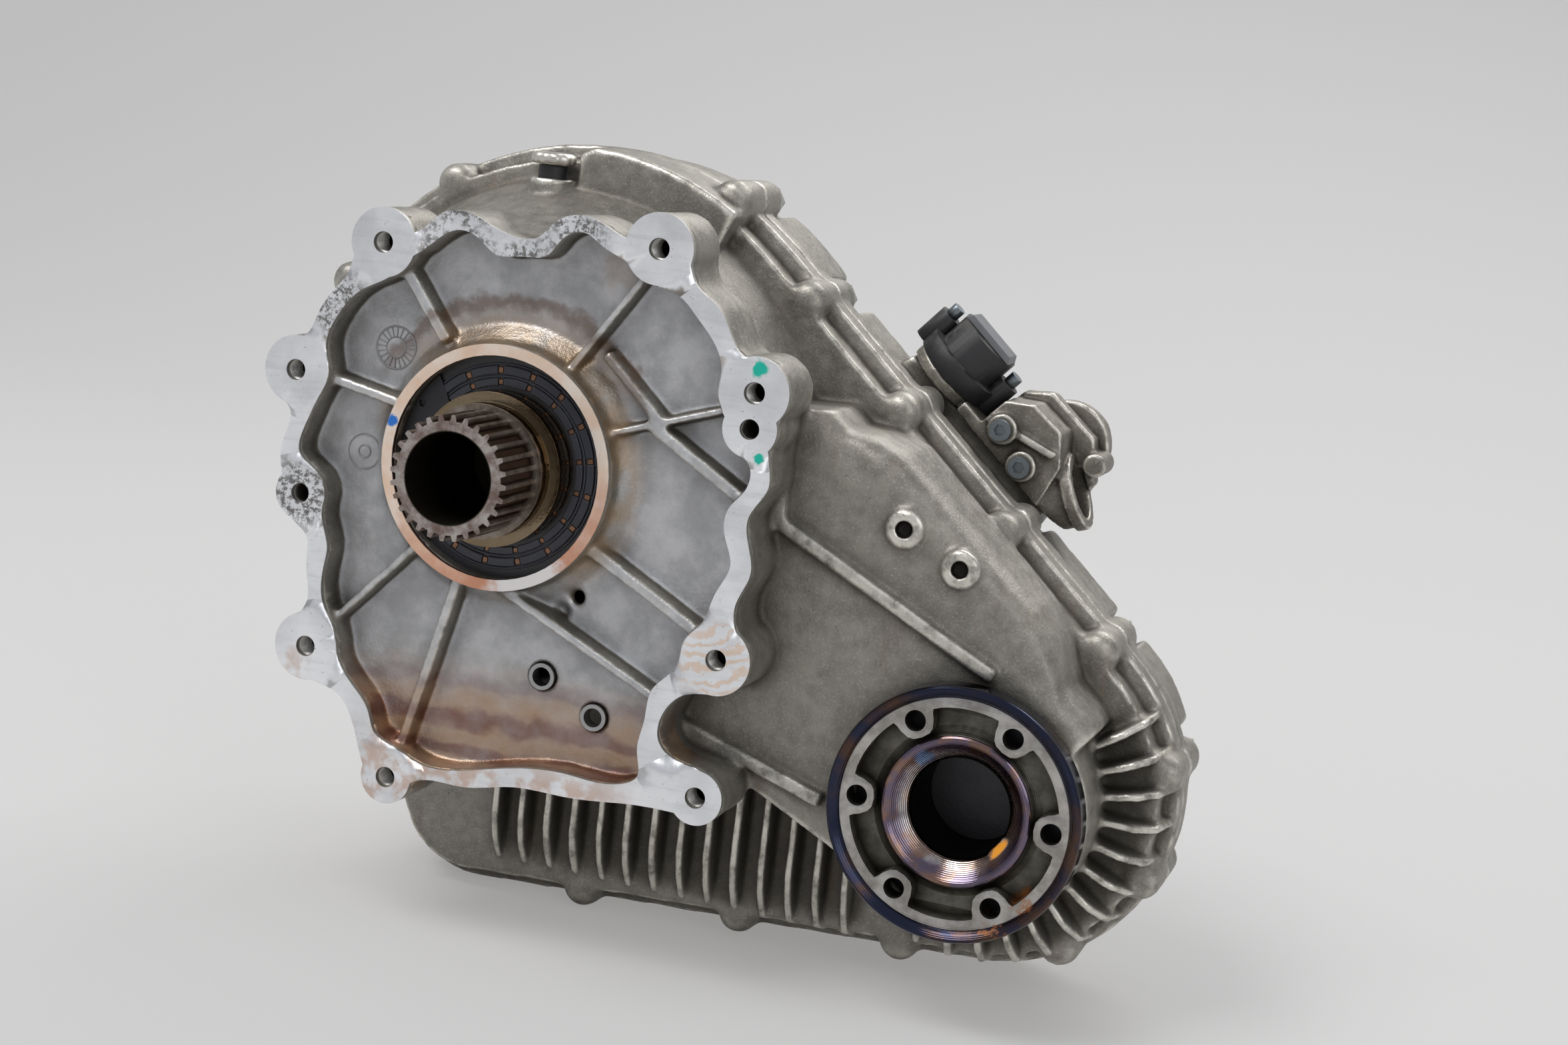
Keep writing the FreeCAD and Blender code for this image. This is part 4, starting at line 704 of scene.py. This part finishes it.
def build_seal_rows():
    """Two rows of raised pads round the input seal, with a copper stud between each two."""
    seat = front("input_seal") / MM
    pads = Solids()
    studs = Solids()
    pitch = 360 / SEAL_PADS
    first_start, gap, half_stud = 11.6, 2.0, 1.4
    for inner, outer in ((35.6, 38.9), (40.6, 44.4)):
        for count in range(SEAL_PADS):
            start = first_start + count * pitch
            if PLATE_START < start + pitch / 2 < PLATE_END:
                continue
            pad = chamfered(inner, outer, seat - 1.3, seat + 0.4)
            stud = chamfered(inner + 0.5, outer - 0.5, seat - 0.9, seat + 0.4)
            pads.arc((0, 0, 0), pad, start + gap, start + pitch - gap, 8)
            studs.arc((0, 0, 0), stud, start - half_stud, start + half_stud, 2)
    for radius in (39.7, 45.2):
        pads.arc((0, 0, 0), chamfered(radius - 0.5, radius + 0.5, seat - 0.8, seat + 0.4, 0.2), steps=96)
    pads.build("seal_pads", "case", pad_paint, 0.15)
    studs.build("seal_studs", "case", copper_paint, 0.1)


def build_seal_plate():
    """The dark retaining plate at the left of the seal, with a small screw hole."""
    seat = front("input_seal") / MM
    outline = []
    for step in range(25):
        turn = math.radians(PLATE_START + (PLATE_END - PLATE_START) * step / 24)
        outline.append((48.9 * math.cos(turn), 48.9 * math.sin(turn)))
    for step in range(21):
        turn = math.radians(PLATE_END - 3 + (PLATE_START - PLATE_END + 6) * step / 20)
        outline.append((35.6 * math.cos(turn) - 2.0, 35.6 * math.sin(turn)))
    hole = [(-40.5 + 1.8 * math.cos(step * math.pi / 12), 22.4 + 1.8 * math.sin(step * math.pi / 12))
            for step in range(24)]
    plate = flat_plate("seal_plate", (outline, hole), seat - 1.6, seat + 0.2, 0.25)
    plate.data.materials.append(black_steel)
    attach(plate, "case")


def flat_plate(name, outlines, front_depth, back_depth, bevel):
    """A flat plate across Y from outlines of (x, z) in millimetres, the inner ones holes."""
    curve = bpy.data.curves.new(name, "CURVE")
    curve.dimensions = "2D"
    curve.fill_mode = "BOTH"
    curve.extrude = (back_depth - front_depth) / 2 * MM - bevel * MM
    curve.bevel_depth = bevel * MM
    curve.bevel_resolution = 1
    for outline in outlines:
        spline = curve.splines.new("POLY")
        spline.points.add(len(outline) - 1)
        for point, (across, up) in zip(spline.points, outline):
            point.co = (across * MM, up * MM, 0, 1)
        spline.use_cyclic_u = True
    block = bpy.data.objects.new(name, curve)
    bpy.context.scene.collection.objects.link(block)
    mesh = applied(block, name)
    middle_depth = (front_depth + back_depth) / 2 * MM
    mesh.transform(Matrix.Translation((0, middle_depth, 0)) @ Matrix.Rotation(math.pi / 2, 4, "X"))
    weld(mesh)
    return link(name, mesh)


def circle(radius, count=96, middle_x=0.0, middle_z=0.0):
    """The corners of a circle."""
    return [(middle_x + radius * math.cos(step * 2 * math.pi / count),
             middle_z + radius * math.sin(step * 2 * math.pi / count)) for step in range(count)]


def take(piece):
    """A piece's mesh with its modifiers applied; the piece goes."""
    return applied(piece, piece.name)


def build_flange(node, name, body, centre, face, way):
    """A dished companion flange with six lobed bolt seats on a ledge, and a conical lip round its bore.

    Radii and steps back from its face are in millimetres; way is -1 where it faces backwards.
    """
    def at(profile):
        return [(radius, face / MM + way * back_step) for radius, back_step in profile]

    def slab(label, outlines, first, last, bevel):
        near, far = sorted((face / MM + way * first, face / MM + way * last))
        moved = [[(centre.x / MM + x, centre.z / MM + z) for x, z in outline] for outline in outlines]
        return take(flat_plate(label, moved, near, far, bevel))

    turned = Solids()
    turned.arc(centre, at([(50.4, 4.0), (50.8, 2.9), (51.7, 1.7), (52.9, 0.7), (54.1, 0.0), (55.2, 0.3),
                           (55.85, 1.1), (56.0, 2.2), (56.0, 11.6), (55.2, 12.6), (50.0, 15.0), (49.0, 13.0),
                           (50.4, 12.0)]), steps=144)
    turned.arc(centre, at([(37.6, 11.3), (35.4, 10.4), (34.2, 8.8), (33.3, 7.2), (32.3, 6.4), (31.2, 6.2),
                           (30.2, 6.7), (29.0, 7.9), (25.6, 11.6), (23.2, 13.6), (22.2, 15.2), (22.0, 17.0),
                           (22.0, 56.0), (34.5, 56.0), (35.0, 55.5), (35.0, 14.0), (37.6, 14.0)]), steps=144)
    seat = ((45.4, -9.2), (43.6, -8.2), (41.0, -7.5), (37.6, -5.6), (36.2, -3.6), (35.7, 0.0), (36.2, 3.6),
            (37.6, 5.6), (41.0, 7.5), (43.6, 8.2), (45.4, 9.2))
    bolts = mounts["front_flange_bolts"]["dims"]
    bolt_round = bolts["pcd_mm"] / 2
    ledge = []
    holes = []
    for count in range(6):
        seat_turn = math.radians(60 * count)
        for step in range(9):
            turn = seat_turn - math.radians(48 - 4 * step)
            ledge.append((46.6 * math.cos(turn), 46.6 * math.sin(turn)))
        for out, across in seat:
            ledge.append((out * math.cos(seat_turn) - across * math.sin(seat_turn),
                          out * math.sin(seat_turn) + across * math.cos(seat_turn)))
        holes.append(circle(bolts["hole_r_mm"], 32, bolt_round * math.cos(seat_turn),
                            bolt_round * math.sin(seat_turn)))
    body_mesh = join_meshes(name, [
        take(turned.raw(name + "_turned")),
        slab(name + "_ledge", [circle(52.6), ledge] + holes, 3.0, 12.4, 0.5),
        slab(name + "_floor", [circle(51.0), circle(30.0)] + holes, 11.2, 14.8, 0.2)])
    body_mesh.materials.clear()
    body_mesh.materials.append(paint_flange(name + "_steel", centre, face, way))
    body_mesh.shade_smooth()
    body_mesh.set_sharp_from_angle(angle=math.radians(32))
    piece = link(name, body_mesh)
    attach(piece, body)
    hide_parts(node)


def build_breather_cap():
    """The breather's plated cap, with a scalloped edge."""
    low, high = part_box("breather_cap")
    centre = middle("breather_cap")
    cap = Solids()
    loops = []
    section = ((0.0, 7.6, 0.0), (0.04, 9.0, 0.15), (0.22, 10.0, 0.3), (0.62, 10.1, 0.3), (0.84, 9.6, 0.2),
               (0.97, 8.2, 0.0), (1.0, 7.2, 0.0), (0.93, 6.3, 0.0), (0.90, 2.5, 0.0), (0.93, 0.4, 0.0))
    for share, radius, wave in section:
        height = low.z + (high.z - low.z) * share
        loop = []
        for step in range(96):
            turn = step * math.pi / 48
            reach = (radius + wave * math.cos(12 * turn)) * MM
            loop.append((centre.x + reach * math.cos(turn), centre.y + reach * math.sin(turn), height))
        loops.append(loop)
    cap.loft(loops)
    piece = cap.build("breather_button", "case", nickel_paint, smooth=60)
    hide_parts("breather_cap")


def panel_shoulder():
    """The rounded upper shoulder of the front wall, which carries both bracket bosses.

    Its section goes out from the input axis and back from the mating face, in millimetres. It runs
    along the upper flat, and rises out of the wall by a share at each place.
    """
    turn = math.radians(SHOULDER_TURN)
    section = [(112, 34.1), (126, 34.1), (131, 36), (134.5, 40), (136.5, 47), (138, 80), (121, 80), (121, 46),
               (118.5, 40.5), (112, 36.5)]
    rise = ((-240, 0.05), (-228, 0.45), (-212, 0.85), (-198, 1.0), (-110, 1.0), (-96, 0.7), (-84, 0.25),
            (-78, 0.05))
    loops = []
    for along, share in rise:
        loop = []
        for full, depth in section:
            out = min(full, SHOULDER_ROOT) + max(full - SHOULDER_ROOT, 0) * share
            loop.append(((out * math.cos(turn) - along * math.sin(turn)) * MM,
                         (depth + (1 - share) * 4) * MM,
                         (out * math.sin(turn) + along * math.cos(turn)) * MM))
        loops.append(loop)
    solid = Solids()
    solid.loft(loops)
    return take(solid.raw("panel_shoulder"))


def build_threads():
    """The threads in the tapped holes of the mating face."""
    threads = Solids()
    for place in face_bolts:
        threads.thread(place, mouth=2.2, bore=4.7, pitch=1.25, turns=9, crest=0.62)
    threads.build("hole_threads", "case", thread_paint, smooth=20)


def build_casting_dials():
    """Two raised foundry dials on the recessed web, without figures."""
    dials = Solids()
    face = WEB / MM
    for inner, outer in ((9.1, 9.9), (4.4, 4.9)):
        dials.arc(LARGE_DIAL, chamfered(inner, outer, face - 0.45, face + 0.6, 0.2), steps=64)
    spoke = chamfered(4.8, 9.2, face - 0.4, face + 0.6, 0.15)
    spokes = 20
    spoke_pitch, half_spoke = 360 / spokes, 1.6
    for count in range(spokes):
        dials.arc(LARGE_DIAL, spoke, count * spoke_pitch - half_spoke, count * spoke_pitch + half_spoke, 1)
    dials.arc(SMALL_DIAL, chamfered(7.5, 8.1, face - 0.45, face + 0.6, 0.2), steps=56)
    dials.arc(SMALL_DIAL, chamfered(2.6, 3.1, face - 0.4, face + 0.6, 0.15), steps=32)
    dials.build("casting_dials", "case", dial_paint)


def build_mating_face():
    """The first millimetres of the front casting, kept exactly as machined."""
    mesh = nodes["front_case"].data.copy()
    mesh.name = "mating_face"
    split_at(mesh, RIM_DEEP, True)
    mesh.materials.clear()
    mesh.materials.append(rim_paint)
    mesh.shade_smooth()
    mesh.set_sharp_from_angle(angle=math.radians(30))
    piece = link("mating_face", mesh)
    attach(piece, "case")


def soften_edges(node, width):
    """Breaks a CAD node's sharp edges so that they catch the light."""
    join = nodes[node].modifiers.new("join", "WELD")
    join.merge_threshold = 1e-5
    bevel_edges(nodes[node], width, 35).harden_normals = True


# ---------------------------------------------------------------- the pieces
def dress(node, material):
    """Gives a CAD node its material."""
    mesh = nodes[node].data
    mesh.materials.clear()
    mesh.materials.append(material)


def finish_skin(skin, material):
    """Gives a cast skin its one material."""
    skin.data.materials.clear()
    skin.data.materials.append(material)
    for face in skin.data.polygons:
        face.material_index = 0


gear_paint = paint_steel("gear_steel", (0.5, 0.5, 0.5))
zinc_paint = paint_steel("zinc_bolts", (0.50, 0.50, 0.47))
blue_zinc = paint_steel("blue_zinc", (0.30, 0.34, 0.37), 0.3)
nickel_paint = paint_steel("nickel", (0.84, 0.80, 0.73), 0.32)
thread_paint = paint_steel("threads", (0.42, 0.41, 0.39), 0.3)
copper_paint = paint_steel("copper_studs", (0.34, 0.19, 0.12), 0.4)
black_steel = paint_steel("black_steel", (0.07, 0.07, 0.075), 0.4)
dial_paint = paint_steel("dial_cast", (0.40, 0.40, 0.41), 0.45, 0.7)
rubber_paint = paint_plastic("seal_rubber", (0.018, 0.018, 0.022), 0.3)
pad_paint = paint_plastic("seal_pads", (0.026, 0.028, 0.038), 0.3)
black_paint = paint_plastic("black_plastic", (0.014, 0.014, 0.015))
grey_paint = paint_plastic("grey_plastic", (0.13, 0.135, 0.145), 0.5)
rim_paint = paint_rim()
rear_paint = paint_casting("cast_rear", (0.335, 0.315, 0.275), 1.05)
actuator_paint = paint_casting("cast_actuator", (0.30, 0.275, 0.235))
for name in nodes:
    dress(name, gear_paint)
dress("input_shaft", paint_shaft())
dress("front_output_shaft", black_steel)
dress("main_shaft", black_steel)
for name in ("input_seal", "rear_seal", "front_output_seal"):
    dress(name, rubber_paint)
for name in ("actuator_motor", "breather_stem"):
    dress(name, black_paint)
for name in ("case_bolts", "fill_plug", "drain_plug"):
    dress(name, zinc_paint)
dress("actuator_screws", blue_zinc)
dress("actuator_end", grey_paint)
for name, width in (("input_shaft", 0.3), ("actuator_motor", 0.5), ("actuator_end", 0.5), ("case_bolts", 0.3),
                    ("fill_plug", 0.3), ("drain_plug", 0.3), ("actuator_screws", 0.2),
                    ("rear_flange_nut", 0.4)):
    soften_edges(name, width)
front_skin = cast_skin("front_case", "front_casting", CASE_VOXEL, passes=7, most=190000, crisp=0.0,
                       dimples=[WEB_DIMPLE], holes=brackets, extra=panel_shoulder())
finish_skin(front_skin, paint_front_case())
rear_skin = cast_skin("rear_case", "rear_casting", CASE_VOXEL, passes=7, most=150000)
finish_skin(rear_skin, rear_paint)
for node, name in (("actuator_housing", "actuator_casting"), ("actuator_cover", "actuator_lid")):
    skin = cast_skin(node, name, SMALL_VOXEL, passes=4, most=36000)
    finish_skin(skin, actuator_paint)
build_mating_face()
build_flange("front_output_flange", "front_flange", "front_output", OUTPUT, front("front_output_flange"), 1)
build_flange("rear_output_flange", "rear_flange", "carrier", Vector((0, 0, 0)),
             back("rear_output_flange"), -1)
build_breather_cap()
build_seal_rows()
build_seal_plate()
build_threads()
build_casting_dials()


# ---------------------------------------------------------------- stage, lights and camera
def seen_light(tree, shader, tone, share):
    """Mixes a set brightness into a surface for the camera and for reflections only."""
    glow = tree.nodes.new("ShaderNodeEmission")
    glow.inputs["Color"].default_value = (*tone, 1.0)
    path = tree.nodes.new("ShaderNodeLightPath")
    rays = tree.nodes.new("ShaderNodeMath")
    rays.operation = "MAXIMUM"
    tree.links.new(path.outputs["Is Camera Ray"], rays.inputs[0])
    tree.links.new(path.outputs["Is Glossy Ray"], rays.inputs[1])
    part = tree.nodes.new("ShaderNodeMath")
    part.operation = "MULTIPLY"
    part.inputs[1].default_value = share
    tree.links.new(rays.outputs[0], part.inputs[0])
    mixer = tree.nodes.new("ShaderNodeMixShader")
    tree.links.new(part.outputs[0], mixer.inputs["Fac"])
    tree.links.new(shader.outputs[0], mixer.inputs[1])
    tree.links.new(glow.outputs[0], mixer.inputs[2])
    return mixer


def build_stage():
    """A plain pale floor that sweeps up into a backdrop of the same tone."""
    material = bpy.data.materials.new("stage_paint")
    material.use_nodes = True
    tree = material.node_tree
    shader = tree.nodes["Principled BSDF"]
    shader.inputs["Base Color"].default_value = (0.66, 0.655, 0.65, 1.0)
    shader.inputs["Roughness"].default_value = 0.9
    shader.inputs["Specular IOR Level"].default_value = 0.1
    mixer = seen_light(tree, shader, STAGE_TONE, STAGE_GLOW)
    tree.links.new(mixer.outputs[0], tree.nodes["Material Output"].inputs["Surface"])
    floor = cad_low.z - 0.001
    near, bend, sweep, top, side = -9.0, 1.4, 2.2, 7.0, 9.0
    profile = [(near, floor), (bend, floor)]
    for step in range(1, 17):
        turn = step * math.pi / 32
        profile.append((bend + sweep * math.sin(turn), floor + sweep - sweep * math.cos(turn)))
    profile.append((bend + sweep, top))
    corners = [(across, along, up) for along, up in profile for across in (-side, side)]
    faces = [(2 * step, 2 * step + 1, 2 * step + 3, 2 * step + 2) for step in range(len(profile) - 1)]
    mesh = bpy.data.meshes.new("stage")
    mesh.from_pydata(corners, [], faces)
    mesh.shade_smooth()
    mesh.materials.append(material)
    link("stage", mesh)


def area_light(name, place, target, size, power):
    """A soft rectangular lamp at a place, turned to a target."""
    data = bpy.data.lights.new(name, "AREA")
    data.shape = "RECTANGLE"
    data.size, data.size_y = size
    data.energy = power
    lamp = bpy.data.objects.new(name, data)
    lamp.location = place
    lamp.rotation_euler = (Vector(target) - Vector(place)).to_track_quat("-Z", "Y").to_euler()
    bpy.context.scene.collection.objects.link(lamp)


def build_lights():
    """A large key lamp from the front left, a weaker fill from the right, one from behind and a dim sky."""
    aim = (0.1, 0.1, -0.05)
    area_light("key", (-0.9, -1.0, 2.2), aim, (1.6, 1.2), 42)
    area_light("fill", (2.0, -1.6, 1.0), aim, (1.6, 1.6), 12)
    area_light("rim", (0.6, 1.8, 1.8), aim, (2.0, 0.8), 30)
    world = bpy.data.worlds.new("studio")
    world.use_nodes = True
    world.node_tree.nodes["Background"].inputs["Color"].default_value = (0.93, 0.95, 1.0, 1)
    world.node_tree.nodes["Background"].inputs["Strength"].default_value = 0.5
    bpy.context.scene.world = world


def build_camera():
    """A short telephoto lens, a metre in front of the mating face and to its right, with a slight tilt."""
    azimuth, elevation, roll = (math.radians(turn) for turn in CAMERA_TURNS)
    ahead = Vector((math.sin(azimuth) * math.cos(elevation), math.cos(azimuth) * math.cos(elevation),
                    math.sin(elevation)))
    level = ahead.cross(Vector((0, 0, 1))).normalized()
    upward = level.cross(ahead)
    across = level * math.cos(roll) + upward * math.sin(roll)
    upward = upward * math.cos(roll) - level * math.sin(roll)
    data = bpy.data.cameras.new("camera")
    data.lens = CAMERA_LENS
    data.sensor_width = 36.0
    camera = bpy.data.objects.new("camera", data)
    camera.matrix_world = Matrix.LocRotScale(
        Vector(CAMERA_PLACE), Matrix((across, upward, -ahead)).transposed(), None)
    bpy.context.scene.collection.objects.link(camera)
    bpy.context.scene.camera = camera


build_stage()
build_lights()
build_camera()
bpy.context.scene.view_settings.view_transform = "Standard"
